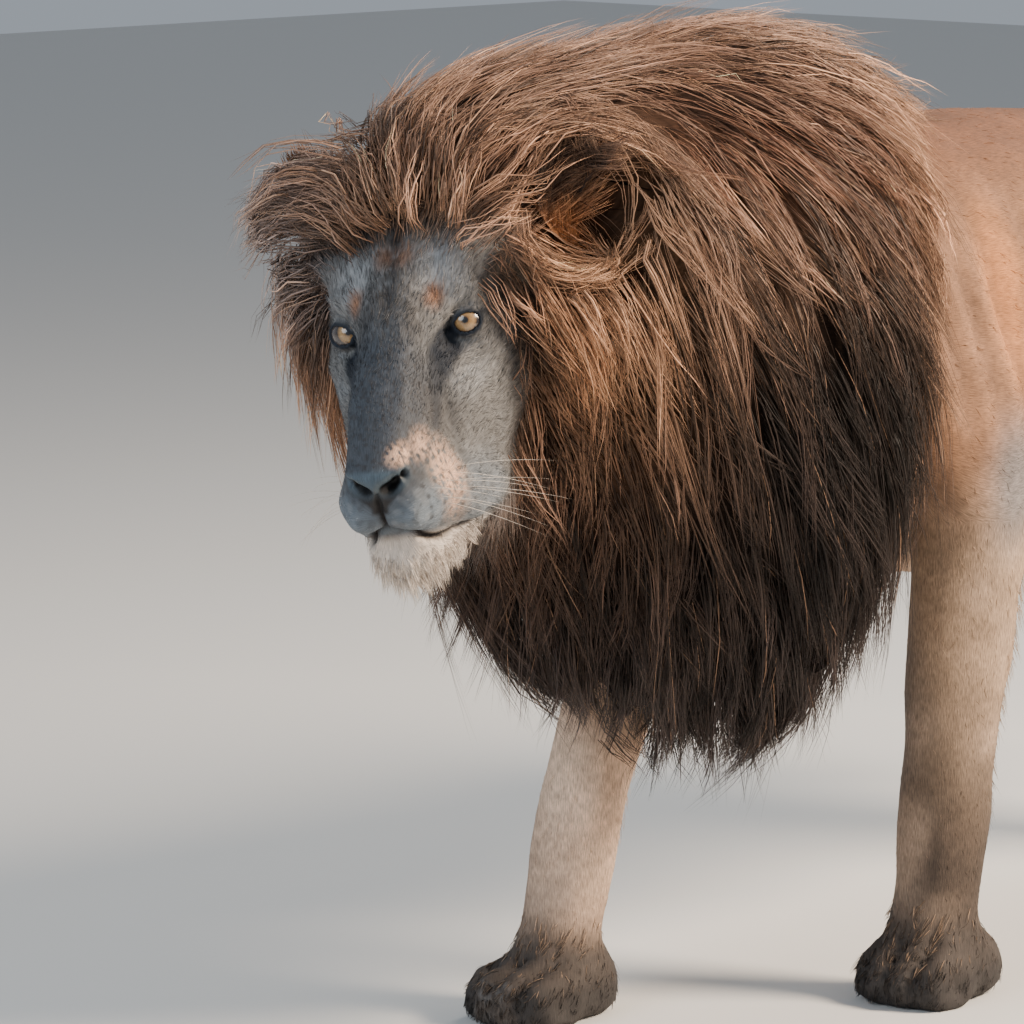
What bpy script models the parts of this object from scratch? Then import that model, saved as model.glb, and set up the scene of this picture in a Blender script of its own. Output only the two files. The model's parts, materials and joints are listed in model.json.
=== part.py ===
"""An adult male lion in mid-stride, life size, as a still museum model.

Frame: metres, +Z up. The lion walks towards -Y and its left side is +X. While it is modelled, Y = 0 is
the line of the left forefoot; at the end everything moves so that the origin is the bottom centre of
the whole lion. Four steps:
  1. flesh: lofted tubes and ellipsoids for trunk, neck, legs, paws and tail, merged by a voxel remesh;
  2. head: the same in its own frame between the eyes, with sculpted sockets, nostrils and mouth;
  3. mane and tail tuft: closed envelopes out to the hair tips, with the flesh under them cut away;
  4. parting: the flesh is cut where a person would name its parts, with thin gaps.
"""

import math

import bmesh
import bpy
import numpy as np
from mathutils import Matrix, Vector

# ---------------------------------------------------------------- driving dimensions, metres
GAP = 0.0006  # free space between neighbouring parts
EAR_GAP = 0.0045  # the same round an ear, whose rim is thin
HEAD_GAP = 0.0015  # the same round the head, under the mane
BODY_VOXEL, BODY_SMOOTHING = 0.010, 7  # grain of the merged form, and rounds of smoothing after it
HEAD_VOXEL, HEAD_SMOOTHING = 0.0055, 15
MANE_VOXEL, MANE_SMOOTHING = 0.012, 5
TUFT_VOXEL, TUFT_SMOOTHING = 0.006, 3
SOFTENING = 0.5  # how far each round of smoothing moves a point
SHARP_ANGLE = 50  # degrees between faces, past which their edge is shaded sharp
BODY_TRIANGLES = 2100
HEAD_TRIANGLES = 940
MANE_TRIANGLES = 820
TUFT_TRIANGLES = 110
RING_SIDES = 20
RINGS_PER_SPAN = 5
BALL_FACETS, EYE_FACETS, NOSE_FACETS, EAR_FACETS = (16, 10), (12, 7), (12, 6), (10, 7)  # round, up
# Share of the thinning that each region takes, and where the mane covers the body.
THIN_UNDER_MANE, THIN_TRUNK, THIN_LIMBS, THIN_FACE = 1.0, 0.6, 0.35, 0.4
MANE_COVERS, COVERED_ABOVE, LIMBS_BELOW = (-0.72, -0.03), 0.48, 0.50

# The head's own frame has its origin midway between the pupils, -Y along the muzzle and +Z up.
EYE_MIDDLE = Vector((0.060, -0.790, 0.825))
HEAD_YAW, HEAD_PITCH, HEAD_ROLL = 29.0, 16.0, -8.0  # degrees: to its left, nose down, right side down
EYE_RADIUS = 0.0195
EYE_DEPTH = 0.0125  # from the middle of an eyeball forward to its pupil's plane
LID_GAP = 0.0105
LID_FLARE, LID_DEPTH = 1.8, 0.05  # the opening widens outwards by this much, over this depth
EYE_SIDE = 0.0620  # half the distance between the pupils
HEAD_SCALE = 1.05

# ---------------------------------------------------------------- the body's sections
# A section is: x, y, z of its middle, half width, height above and below the middle, the roundness of
# its lower half, and its lean back and turn to the left in degrees. Roundness 1 gives an ellipse, less
# gives a fuller and flatter underside, more a keel.
TRUNK = [
    (0, -0.240, 0.790, 0.070, 0.080, 0.100, 1.0, 0, 0),
    (0, -0.190, 0.790, 0.135, 0.160, 0.190, 1.0, 0, 0),
    (0, -0.080, 0.775, 0.182, 0.215, 0.265, 1.1, 0, 0),
    (0, 0.060, 0.770, 0.200, 0.245, 0.305, 1.2, 0, 0),
    (0, 0.210, 0.765, 0.212, 0.250, 0.315, 1.1, 0, 0),
    (0, 0.390, 0.765, 0.217, 0.240, 0.302, 1.0, 0, 0),
    (0, 0.570, 0.770, 0.207, 0.228, 0.280, 1.0, 0, 0),
    (0, 0.740, 0.785, 0.180, 0.216, 0.242, 1.1, 0, 0),
    (0, 0.880, 0.810, 0.165, 0.195, 0.205, 1.1, 0, 0),
    (0, 1.005, 0.828, 0.158, 0.166, 0.190, 1.0, 0, 0),
    (0, 1.110, 0.835, 0.130, 0.125, 0.155, 1.0, 0, 0),
    (0, 1.165, 0.835, 0.060, 0.060, 0.080, 1.0, 0, 0),
]
NECK = [
    (0.000, -0.080, 0.800, 0.160, 0.180, 0.200, 1.0, 10, 0),
    (0.000, -0.240, 0.830, 0.140, 0.165, 0.195, 1.0, 2, 3),
    (0.004, -0.380, 0.850, 0.126, 0.142, 0.175, 1.0, -4, 9),
    (0.008, -0.500, 0.858, 0.116, 0.124, 0.155, 1.0, -10, 18),
    (0.014, -0.610, 0.856, 0.108, 0.110, 0.136, 1.0, -14, 26),
]
# Limb sections: x, y, z, half width across, half depth to the front and to the back.
LEFT_FORELEG = [
    (0.075, 0.035, 0.950, 0.040, 0.085, 0.085),
    (0.125, 0.000, 0.850, 0.060, 0.120, 0.115),
    (0.160, -0.030, 0.740, 0.068, 0.125, 0.120),
    (0.168, 0.000, 0.650, 0.072, 0.110, 0.114),
    (0.164, 0.020, 0.565, 0.068, 0.092, 0.094),
    (0.158, 0.018, 0.470, 0.066, 0.080, 0.080),
    (0.152, 0.010, 0.360, 0.061, 0.072, 0.072),
    (0.146, 0.004, 0.270, 0.055, 0.063, 0.064),
    (0.142, 0.000, 0.200, 0.057, 0.063, 0.063),
    (0.139, -0.006, 0.120, 0.054, 0.057, 0.057),
    (0.137, -0.016, 0.060, 0.055, 0.059, 0.059),
]
RIGHT_FORELEG = [
    (-0.075, 0.000, 0.940, 0.040, 0.085, 0.085),
    (-0.125, -0.050, 0.840, 0.060, 0.115, 0.115),
    (-0.158, -0.095, 0.730, 0.068, 0.120, 0.120),
    (-0.158, -0.120, 0.640, 0.070, 0.105, 0.110),
    (-0.148, -0.155, 0.550, 0.065, 0.086, 0.088),
    (-0.140, -0.205, 0.460, 0.061, 0.073, 0.073),
    (-0.132, -0.262, 0.360, 0.056, 0.065, 0.065),
    (-0.125, -0.308, 0.270, 0.052, 0.058, 0.060),
    (-0.120, -0.336, 0.200, 0.055, 0.060, 0.060),
    (-0.117, -0.358, 0.120, 0.052, 0.054, 0.054),
    (-0.114, -0.378, 0.060, 0.053, 0.056, 0.056),
]
LEFT_HIND_LEG = [
    (0.070, 1.015, 0.895, 0.070, 0.135, 0.110),
    (0.105, 0.995, 0.800, 0.085, 0.170, 0.125),
    (0.132, 0.965, 0.690, 0.082, 0.162, 0.120),
    (0.146, 0.945, 0.590, 0.070, 0.110, 0.098),
    (0.148, 0.985, 0.500, 0.058, 0.078, 0.080),
    (0.142, 1.055, 0.415, 0.046, 0.056, 0.060),
    (0.136, 1.120, 0.335, 0.040, 0.044, 0.050),
    (0.132, 1.130, 0.260, 0.040, 0.042, 0.046),
    (0.130, 1.115, 0.170, 0.040, 0.040, 0.040),
    (0.130, 1.095, 0.090, 0.044, 0.046, 0.044),
    (0.130, 1.080, 0.050, 0.048, 0.054, 0.050),
]
RIGHT_HIND_LEG = [
    (-0.070, 0.985, 0.895, 0.070, 0.135, 0.110),
    (-0.105, 0.945, 0.800, 0.085, 0.165, 0.125),
    (-0.134, 0.885, 0.690, 0.082, 0.152, 0.125),
    (-0.150, 0.830, 0.590, 0.070, 0.100, 0.105),
    (-0.150, 0.835, 0.500, 0.058, 0.076, 0.084),
    (-0.143, 0.890, 0.410, 0.046, 0.056, 0.062),
    (-0.137, 0.940, 0.330, 0.040, 0.044, 0.050),
    (-0.132, 0.940, 0.260, 0.040, 0.042, 0.046),
    (-0.128, 0.910, 0.170, 0.040, 0.040, 0.040),
    (-0.125, 0.875, 0.090, 0.044, 0.046, 0.044),
    (-0.124, 0.860, 0.050, 0.048, 0.054, 0.050),
]
TAIL = [
    (0.000, 1.110, 0.895, 0.045, 0.045, 0.045),
    (0.000, 1.190, 0.875, 0.038, 0.038, 0.038),
    (0.002, 1.255, 0.800, 0.030, 0.030, 0.030),
    (0.006, 1.285, 0.680, 0.025, 0.025, 0.025),
    (0.012, 1.305, 0.540, 0.021, 0.021, 0.021),
    (0.020, 1.330, 0.410, 0.018, 0.018, 0.018),
    (0.030, 1.370, 0.300, 0.015, 0.015, 0.015),
    (0.040, 1.410, 0.240, 0.012, 0.012, 0.012),
]
TAIL_TUFT = [
    (0.018, 1.322, 0.445, 0.020, 0.020, 0.020),
    (0.024, 1.348, 0.360, 0.040, 0.038, 0.042),
    (0.034, 1.388, 0.270, 0.050, 0.046, 0.052),
    (0.046, 1.425, 0.195, 0.036, 0.034, 0.038),
    (0.054, 1.448, 0.140, 0.010, 0.010, 0.010),
]
# Paws: middle of the sole, half width, half length, height, and turn in degrees.
PAWS = {
    "left_fore": ((0.142, -0.008), 0.072, 0.104, 0.086, 4.0),
    "right_fore": ((-0.108, -0.392), 0.072, 0.104, 0.086, 2.0),
    "left_hind": ((0.130, 1.043), 0.058, 0.092, 0.070, 3.0),
    "right_hind": ((-0.122, 0.820), 0.058, 0.092, 0.070, -3.0),
}
PAW_SINK = 0.012  # how far a paw is modelled below the floor, where it is cut flat
# As shares of a paw's half width, half length and height: the half sizes of its body and of a toe, how
# far back and how high they lie, and each toe's place across and ahead.
PAW_BODY, PAW_BODY_BACK, PAW_BODY_LEVEL = (0.92, 0.74, 0.54), 0.22, 0.42
TOE, TOE_LEVEL = (0.31, 0.46, 0.40), 0.40
TOE_PLACES = ((-0.72, 0.42), (-0.25, 0.58), (0.25, 0.58), (0.72, 0.42))
# Muscle and bone that stand out under the coat: middle, then half sizes.
MASSES = [
    ((0.062, 0.045, 0.945), (0.034, 0.085, 0.070)),  # shoulder blades
    ((-0.062, 0.015, 0.945), (0.034, 0.085, 0.070)),
    ((0.165, -0.085, 0.735), (0.062, 0.070, 0.090)),  # points of the shoulders
    ((-0.160, -0.135, 0.725), (0.062, 0.070, 0.090)),
    ((0.175, 0.060, 0.680), (0.054, 0.088, 0.105)),  # triceps
    ((-0.170, -0.030, 0.670), (0.054, 0.088, 0.105)),
    ((0.164, 0.092, 0.565), (0.038, 0.042, 0.050)),  # elbows
    ((-0.152, -0.070, 0.550), (0.038, 0.042, 0.050)),
    ((0.000, -0.170, 0.640), (0.110, 0.120, 0.110)),  # breast
    ((0.085, 0.935, 0.935), (0.060, 0.080, 0.050)),  # hips
    ((-0.085, 0.915, 0.935), (0.060, 0.080, 0.050)),
    ((0.095, 1.095, 0.760), (0.065, 0.085, 0.130)),  # buttocks
    ((-0.095, 1.070, 0.760), (0.065, 0.085, 0.130)),
    ((0.118, 0.820, 0.650), (0.062, 0.110, 0.105)),  # flank folds ahead of the thighs
    ((-0.122, 0.755, 0.640), (0.062, 0.110, 0.105)),
]

# ---------------------------------------------------------------- the head's sections, in its own frame
# A head section is: y, top, widest height, bottom, half width, roundness above and below. The exponent
# 1 gives an ellipse, less a flatter box and more a narrower ridge.
SKULL = [
    (0.250, 0.020, -0.020, -0.085, 0.060, 1.0, 1.0),
    (0.205, 0.062, -0.015, -0.120, 0.100, 1.0, 0.9),
    (0.140, 0.098, -0.020, -0.150, 0.116, 1.0, 0.8),
    (0.075, 0.103, -0.035, -0.165, 0.112, 1.0, 0.8),
    (0.035, 0.095, -0.050, -0.176, 0.101, 1.1, 0.75),
    (0.000, 0.077, -0.062, -0.182, 0.089, 1.5, 0.7),
    (-0.030, 0.052, -0.076, -0.184, 0.078, 1.8, 0.7),
    (-0.060, 0.028, -0.090, -0.180, 0.066, 1.6, 0.7),
    (-0.095, 0.003, -0.104, -0.168, 0.054, 1.2, 0.8),
    (-0.132, -0.024, -0.110, -0.160, 0.049, 1.0, 0.8),
    (-0.160, -0.046, -0.108, -0.152, 0.042, 0.9, 0.8),
    (-0.180, -0.064, -0.104, -0.142, 0.030, 0.9, 0.8),
    (-0.188, -0.080, -0.100, -0.124, 0.016, 0.9, 0.9),
]
LOWER_JAW = [
    (0.130, -0.080, -0.120, -0.180, 0.074, 1.0, 1.0),
    (0.080, -0.090, -0.140, -0.200, 0.074, 1.0, 1.0),
    (0.020, -0.110, -0.160, -0.212, 0.074, 1.0, 0.9),
    (-0.040, -0.120, -0.168, -0.216, 0.064, 1.0, 0.9),
    (-0.090, -0.125, -0.168, -0.216, 0.054, 1.0, 0.9),
    (-0.130, -0.128, -0.168, -0.212, 0.045, 0.9, 0.9),
    (-0.160, -0.128, -0.160, -0.190, 0.027, 0.9, 0.9),
]
BRIDGE = [
    (0.020, 0.070, 0.034, 0.000, 0.040, 0.7, 1.0),
    (-0.020, 0.056, 0.028, -0.020, 0.036, 0.7, 1.0),
    (-0.060, 0.030, 0.000, -0.040, 0.035, 0.7, 1.0),
    (-0.100, 0.002, -0.024, -0.060, 0.036, 0.7, 1.0),
    (-0.145, -0.030, -0.054, -0.080, 0.035, 0.7, 1.0),
    (-0.178, -0.058, -0.078, -0.100, 0.030, 0.8, 1.0),
]
# Rounded forms on both sides of the head: middle and half sizes of the left one.
HEAD_PAIRS = [
    ((0.062, 0.045, -0.040), (0.040, 0.065, 0.042)),  # cheekbones
    ((0.047, 0.028, 0.036), (0.037, 0.034, 0.024)),  # brows
    ((0.027, -0.138, -0.120), (0.027, 0.050, 0.038)),  # whisker pads
    ((0.046, -0.070, -0.140), (0.030, 0.055, 0.044)),  # lips beside them
    ((0.050, -0.030, -0.160), (0.033, 0.056, 0.036)),  # corners of the mouth
    ((0.054, 0.100, 0.055), (0.056, 0.090, 0.040)),  # temple muscles
]
HEAD_MIDDLE = [
    ((0, -0.126, -0.178), (0.044, 0.042, 0.038)),  # chin
]
# Sculpt strokes on the head: middle, reach, and the push there.
HEAD_STROKES = [
    ((0.064, -0.022, 0.002), 0.022, (0.000, 0.010, 0.000)),  # eye sockets
    ((0.046, -0.060, -0.028), 0.024, (-0.003, 0.005, 0.000)),  # tear troughs
]
NOSE = ((0, -0.175, -0.089), (0.037, 0.021, 0.025))
NOSE_TAPER = (0.80, 0.35)  # its width at the middle, and how much that grows upwards

# ---------------------------------------------------------------- the mane's envelope, out to its tips
MANE = [
    (0.000, 0.180, 0.860, 0.034, 0.150, 0.040, 1.0, 20, 0),
    (0.000, 0.080, 0.790, 0.070, 0.236, 0.150, 0.8, 18, 0),
    (0.000, -0.010, 0.730, 0.140, 0.314, 0.240, 0.7, 12, 0),
    (0.000, -0.100, 0.715, 0.222, 0.380, 0.350, 0.6, 8, 0),
    (0.000, -0.200, 0.710, 0.270, 0.420, 0.440, 0.6, 4, 0),
    (0.000, -0.310, 0.725, 0.286, 0.408, 0.470, 0.7, 1, 2),
    (0.004, -0.420, 0.745, 0.278, 0.375, 0.440, 0.8, -2, 7),
    (0.014, -0.520, 0.775, 0.260, 0.340, 0.440, 1.0, -4, 14),
    (0.028, -0.610, 0.800, 0.236, 0.300, 0.390, 1.1, -8, 21),
    (0.042, -0.685, 0.815, 0.208, 0.262, 0.285, 1.0, -12, 27),
    (0.052, -0.735, 0.818, 0.180, 0.215, 0.230, 1.0, -15, 29),
    (0.056, -0.765, 0.818, 0.140, 0.150, 0.185, 1.0, -16, 29),
]
# Locks that stand out of the mane, in the head's frame: middle and half sizes.
MANE_LOCKS = [
    ((-0.078, 0.100, 0.108), (0.090, 0.095, 0.055)),  # wing swept out over the right ear
    ((0.000, 0.085, 0.122), (0.090, 0.090, 0.045)),  # forelock
    ((0.070, 0.095, 0.110), (0.075, 0.090, 0.045)),
]
# Ears, in the head's frame: side, middle of the base, lean outwards in degrees. The right one lies
# closer in, under the hair that sweeps over it.
EARS = {
    "ear_left": (1, Vector((0.158, 0.140, 0.030)), 4.0),
    "ear_right": (-1, Vector((-0.116, 0.180, 0.035)), 8.0),
}
EAR_SIZE = (0.046, 0.024, 0.064)  # half width, half thickness, half height
EAR_TURN = 20.0  # degrees that an ear opens outwards
EAR_CUP, EAR_CURL = 1.5, 0.8  # how deep its front is hollowed and its sides curl, in half thicknesses
EAR_NARROWING = 0.25  # of its width, at its base
EAR_LIFT = 0.75  # its middle above its base, in half heights
EAR_HOLLOW = (0.060, 0.075, 0.072)  # half sizes of the space free of mane before an ear
EAR_HOLLOW_AT = Vector((0.030, -0.050, 0.050))  # from the ear's base, outwards, forward and up

# ---------------------------------------------------------------- where the body is parted
SLAB_REACH = 0.4  # how far out the leg cutters go
# A leg is cut from the trunk inside a slab: its level z, where it starts and ends along y, and how far
# from the middle plane its inner face is. Then planes, a point and the way they face, part each leg at
# its joints.
LEG_SLABS = {
    "left_fore": [
        (-0.05, -0.170, 0.170, 0.020),
        (0.38, -0.170, 0.170, 0.020),
        (0.46, -0.170, 0.170, 0.084),
        (0.70, -0.170, 0.165, 0.084),
        (0.80, -0.130, 0.120, 0.084),
        (0.85, -0.050, 0.040, 0.084),
    ],
    "right_fore": [
        (-0.05, -0.540, -0.240, 0.020),
        (0.22, -0.460, -0.140, 0.020),
        (0.38, -0.370, -0.040, 0.020),
        (0.46, -0.310, 0.030, 0.084),
        (0.55, -0.265, 0.085, 0.084),
        (0.70, -0.250, 0.085, 0.084),
        (0.79, -0.170, 0.050, 0.084),
        (0.84, -0.110, -0.030, 0.084),
    ],
    "left_hind": [
        (-0.05, 0.920, 1.188, 0.020),
        (0.30, 0.920, 1.188, 0.020),
        (0.42, 0.870, 1.188, 0.030),
        (0.56, 0.785, 1.188, 0.042),
        (0.70, 0.785, 1.188, 0.042),
        (0.80, 0.850, 1.188, 0.042),
        (0.87, 0.940, 1.110, 0.042),
    ],
    "right_hind": [
        (-0.05, 0.690, 1.000, 0.020),
        (0.30, 0.770, 1.020, 0.020),
        (0.42, 0.750, 1.070, 0.030),
        (0.56, 0.700, 1.140, 0.042),
        (0.70, 0.700, 1.188, 0.042),
        (0.80, 0.790, 1.188, 0.042),
        (0.87, 0.900, 1.090, 0.042),
    ],
}
LEG_CUTS = {
    "left_fore": [((0.16, 0.02, 0.530), (0, 0.10, 1)), ((0.14, 0.0, 0.185), (0, 0, 1))],
    "right_fore": [((-0.15, -0.16, 0.525), (0, 0.25, 1)), ((-0.12, -0.34, 0.185), (0, 0.2, 1))],
    "left_hind": [((0.14, 0.97, 0.525), (0, -0.08, 1)), ((0.13, 1.13, 0.250), (0, 0.1, 1))],
    "right_hind": [((-0.15, 0.83, 0.520), (0, -0.08, 1)), ((-0.13, 0.94, 0.250), (0, 0.2, 1))],
}
LEG_PIECES = {"fore": ("upper_arm", "forearm", "paw"), "hind": ("thigh", "shank", "foot")}
NECK_CUT, CHEST_CUT, BARREL_CUT, TAIL_CUT = -0.270, 0.270, 0.740, 1.192  # y of each plane
TAIL_MIDDLE_CUT = 0.700  # z
UNDER_MANE = 0.060  # the head's y behind which the mane covers it
JAW_CUT = ((0, -0.170, -0.143), (0, 0.29, 1))  # in the head's frame

# ---------------------------------------------------------------- colours (linear), roughness
FINISH = {
    "coat": ((0.34, 0.21, 0.13, 1.0), 0.85),
    "face_coat": ((0.33, 0.25, 0.19, 1.0), 0.85),
    "mane_hair": ((0.10, 0.055, 0.034, 1.0), 0.75),
    "paw_coat": ((0.24, 0.17, 0.12, 1.0), 0.85),
    "tuft_hair": ((0.03, 0.022, 0.018, 1.0), 0.75),
    "nose_leather": ((0.05, 0.045, 0.045, 1.0), 0.5),
    "eye_glass": ((0.45, 0.28, 0.10, 1.0), 0.08),
}


# ---------------------------------------------------------------- tools
def clear_scene():
    for obj in list(bpy.data.objects):
        bpy.data.objects.remove(obj)


def material(slot):
    found = bpy.data.materials.get(slot)
    if found:
        return found
    colour, roughness = FINISH[slot]
    made = bpy.data.materials.new(slot)
    made.use_nodes = True
    shader = made.node_tree.nodes["Principled BSDF"]
    shader.inputs["Base Color"].default_value = colour
    shader.inputs["Roughness"].default_value = roughness
    shader.inputs["Metallic"].default_value = 0.0
    return made


def collection(name, hidden=False):
    made = bpy.data.collections.new(name)
    made.hide_render = hidden
    bpy.context.scene.collection.children.link(made)
    return made


def object_of(bm, name, group):
    """A new object that holds the bmesh, in a collection."""
    mesh = bpy.data.meshes.new(name)
    bm.to_mesh(mesh)
    bm.free()
    obj = bpy.data.objects.new(name, mesh)
    group.objects.link(obj)
    return obj


def curve_through(rows, per_span):
    """Rows between the given ones, on a Catmull-Rom curve through them all."""
    rows = np.array(rows, float)
    padded = np.vstack([2 * rows[0] - rows[1], rows, 2 * rows[-1] - rows[-2]])
    made = []
    for i in range(1, len(padded) - 2):
        before, start, end, after = padded[i - 1 : i + 3]
        for t in np.arange(per_span) / per_span:
            made.append(
                0.5
                * (
                    2 * start
                    + (end - before) * t
                    + (2 * before - 5 * start + 4 * end - after) * t**2
                    + (3 * start - before - 3 * end + after) * t**3
                )
            )
    return np.array([*made, rows[-1]])


def add_rings(bm, rings):
    """A closed tube through rings of points, with a fan at each end."""
    loops = [[bm.verts.new(point) for point in ring] for ring in rings]
    for lower, upper in zip(loops, loops[1:]):
        for i in range(len(lower)):
            j = (i + 1) % len(lower)
            bm.faces.new((lower[i], lower[j], upper[j], upper[i]))
    for loop in (loops[0], loops[-1]):
        bm.faces.new(loop)


def add_loft(bm, sections, place=Matrix.Identity(4)):
    """A tube through sections that state their own lean and turn."""
    rings = []
    for x, y, z, across, above, below, roundness, lean, turn in curve_through(
        sections, RINGS_PER_SPAN
    ):
        facing = Matrix.Rotation(math.radians(turn), 3, "Z")
        side = facing @ Vector((1, 0, 0))
        up = facing @ Vector(
            (0, math.sin(math.radians(lean)), math.cos(math.radians(lean)))
        )
        ring = []
        for k in range(RING_SIDES):
            angle = 2 * math.pi * k / RING_SIDES
            c, s = math.cos(angle), math.sin(angle)
            width = across * math.copysign(abs(c) ** (roundness if s < 0 else 1.0), c)
            point = Vector((x, y, z)) + side * width
            ring.append(place @ (point + up * (s * (above if s > 0 else below))))
        rings.append(ring)
    add_rings(bm, rings)


def add_head_loft(bm, sections, place):
    """A tube along the muzzle through sections that have their own roundness."""
    rings = []
    for y, top, middle, bottom, half, above, below in curve_through(sections, RINGS_PER_SPAN):
        ring = []
        for k in range(RING_SIDES):
            angle = 2 * math.pi * (k + 0.5) / RING_SIDES
            c, s = math.cos(angle), math.sin(angle)
            power = above if s > 0 else below
            reach = top - middle if s > 0 else middle - bottom
            x = half * math.copysign(abs(c) ** power, c)
            ring.append(place @ Vector((x, y, middle + reach * s)))
        rings.append(ring)
    add_rings(bm, rings)


def add_limb(bm, sections):
    """A tube along a leg or tail, with each ring square to the limb."""
    rows = curve_through(sections, RINGS_PER_SPAN)
    along = np.gradient(rows[:, :3], axis=0)
    rings = []
    for (x, y, z, across, ahead, behind), way in zip(rows, along):
        way = Vector(way).normalized()
        side = (Vector((1, 0, 0)) - way * way.x).normalized()
        front = way.cross(side)
        ring = []
        for k in range(RING_SIDES):
            angle = 2 * math.pi * k / RING_SIDES
            c, s = math.cos(angle), math.sin(angle)
            reach = ahead if s > 0 else behind
            ring.append(Vector((x, y, z)) + side * (across * c) + front * (reach * s))
        rings.append(ring)
    add_rings(bm, rings)


def add_ball(bm, middle, half_sizes, place=Matrix.Identity(4)):
    """An ellipsoid."""
    matrix = place @ Matrix.Translation(middle) @ Matrix.Diagonal((*half_sizes, 1.0))
    round_it, upwards = BALL_FACETS
    bmesh.ops.create_uvsphere(bm, u_segments=round_it, v_segments=upwards, radius=1.0, matrix=matrix)


def add_paw(bm, sole, half_width, half_length, height, turn):
    """A broad paw with four toes; it reaches below the floor, where it is cut flat later."""
    place = Matrix.Translation((*sole, 0.0)) @ Matrix.Rotation(math.radians(turn), 4, "Z")
    wide, long, high = PAW_BODY
    body = (half_width * wide, half_length * long, (height + PAW_SINK) * high)
    add_ball(bm, (0, half_length * PAW_BODY_BACK, height * PAW_BODY_LEVEL), body, place)
    wide, long, high = TOE
    toe = (half_width * wide, half_length * long, height * high + PAW_SINK / 2)
    for across, ahead in TOE_PLACES:
        middle = (half_width * across, -half_length * ahead, height * TOE_LEVEL - PAW_SINK / 2)
        add_ball(bm, middle, toe, place)


def merged(bm, name, group, voxel, smoothing):
    """The overlapping shells in the bmesh as one smooth closed mesh."""
    bmesh.ops.recalc_face_normals(bm, faces=bm.faces)
    obj = object_of(bm, name, group)
    remesh = obj.modifiers.new("one_skin", "REMESH")
    remesh.mode = "VOXEL"
    remesh.voxel_size = voxel
    remesh.adaptivity = 0.0
    smooth = obj.modifiers.new("soften", "SMOOTH")
    smooth.factor = SOFTENING
    smooth.iterations = smoothing
    return applied(obj)


def applied(obj):
    """The object with its modifiers made real."""
    graph = bpy.context.evaluated_depsgraph_get()
    mesh = bpy.data.meshes.new_from_object(obj.evaluated_get(graph), depsgraph=graph)
    obj.modifiers.clear()
    obj.data = mesh
    return obj


def thinned(obj, triangles, keep_group=None):
    """The object with about so many triangles, fewer of them lost where keep_group is heavy."""
    count = sum(len(p.vertices) - 2 for p in obj.data.polygons)
    thin = obj.modifiers.new("thin", "DECIMATE")
    thin.ratio = min(1.0, triangles / count)
    thin.use_collapse_triangulate = True
    if keep_group:
        thin.vertex_group = keep_group
        thin.vertex_group_factor = 1.0
    return applied(obj)


def sculpt(obj, strokes, place, mirrored=True):
    """Pushes the points near each stroke, fading with distance, on both sides of the head."""
    points = np.empty(len(obj.data.vertices) * 3)
    obj.data.vertices.foreach_get("co", points)
    points = points.reshape(-1, 3)
    into = np.array(place.inverted())
    back = np.array(place)
    local = points @ into[:3, :3].T + into[:3, 3]
    for middle, reach, push in strokes:
        for side in (1, -1) if mirrored else (1,):
            flip = np.array((side, 1, 1))
            away = np.linalg.norm(local - np.array(middle) * flip, axis=1)
            share = np.exp(-((away / reach) ** 2))
            local = local + share[:, None] * np.array(push) * flip
    points = local @ back[:3, :3].T + back[:3, 3]
    obj.data.vertices.foreach_set("co", points.ravel())
    obj.data.update()


def grown(obj, by, group):
    """A copy of the object, a little larger all round, to cut room for it."""
    bm = bmesh.new()
    bm.from_mesh(obj.data)
    bm.normal_update()
    for vertex in bm.verts:
        vertex.co += vertex.normal * by
    return object_of(bm, obj.name + "_room", group)


def boolean(obj, other, operation):
    cut = obj.modifiers.new(operation.lower(), "BOOLEAN")
    cut.operation = operation
    cut.object = other
    cut.solver = "EXACT"
    return applied(obj)


def largest_island(obj):
    """Drops the crumbs that a cut leaves, keeping the largest closed piece."""
    bm = bmesh.new()
    bm.from_mesh(obj.data)
    left, islands = set(bm.verts), []
    while left:
        island, front = set(), [left.pop()]
        while front:
            vertex = front.pop()
            island.add(vertex)
            for edge in vertex.link_edges:
                other = edge.other_vert(vertex)
                if other in left:
                    left.discard(other)
                    front.append(other)
        islands.append(island)
    islands.sort(key=len)
    crumbs = [vertex for island in islands[:-1] for vertex in island]
    bmesh.ops.delete(bm, geom=crumbs, context="VERTS")
    bm.to_mesh(obj.data)
    bm.free()
    return obj


def half(obj, point, normal, name, group):
    """The part of a closed mesh that the normal points to, capped flat on the plane."""
    bm = bmesh.new()
    bm.from_mesh(obj.data)
    normal = Vector(normal).normalized()
    everything = bm.verts[:] + bm.edges[:] + bm.faces[:]
    cut = bmesh.ops.bisect_plane(
        bm,
        geom=everything,
        plane_co=Vector(point) + normal * GAP / 2,
        plane_no=normal,
        clear_inner=True,
        dist=1e-6,
    )
    edges = [e for e in cut["geom_cut"] if isinstance(e, bmesh.types.BMEdge)]
    bmesh.ops.holes_fill(bm, edges=edges, sides=0)
    bmesh.ops.triangulate(bm, faces=[f for f in bm.faces if len(f.verts) > 4])
    bmesh.ops.recalc_face_normals(bm, faces=bm.faces)
    return object_of(bm, name, group)


def split(obj, point, normal, name_ahead, name_behind, group):
    """Two closed pieces, with a thin gap on the plane between them."""
    ahead = half(obj, point, normal, name_ahead, group)
    behind = half(obj, point, -Vector(normal), name_behind, group)
    bpy.data.objects.remove(obj)
    return ahead, behind


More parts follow.
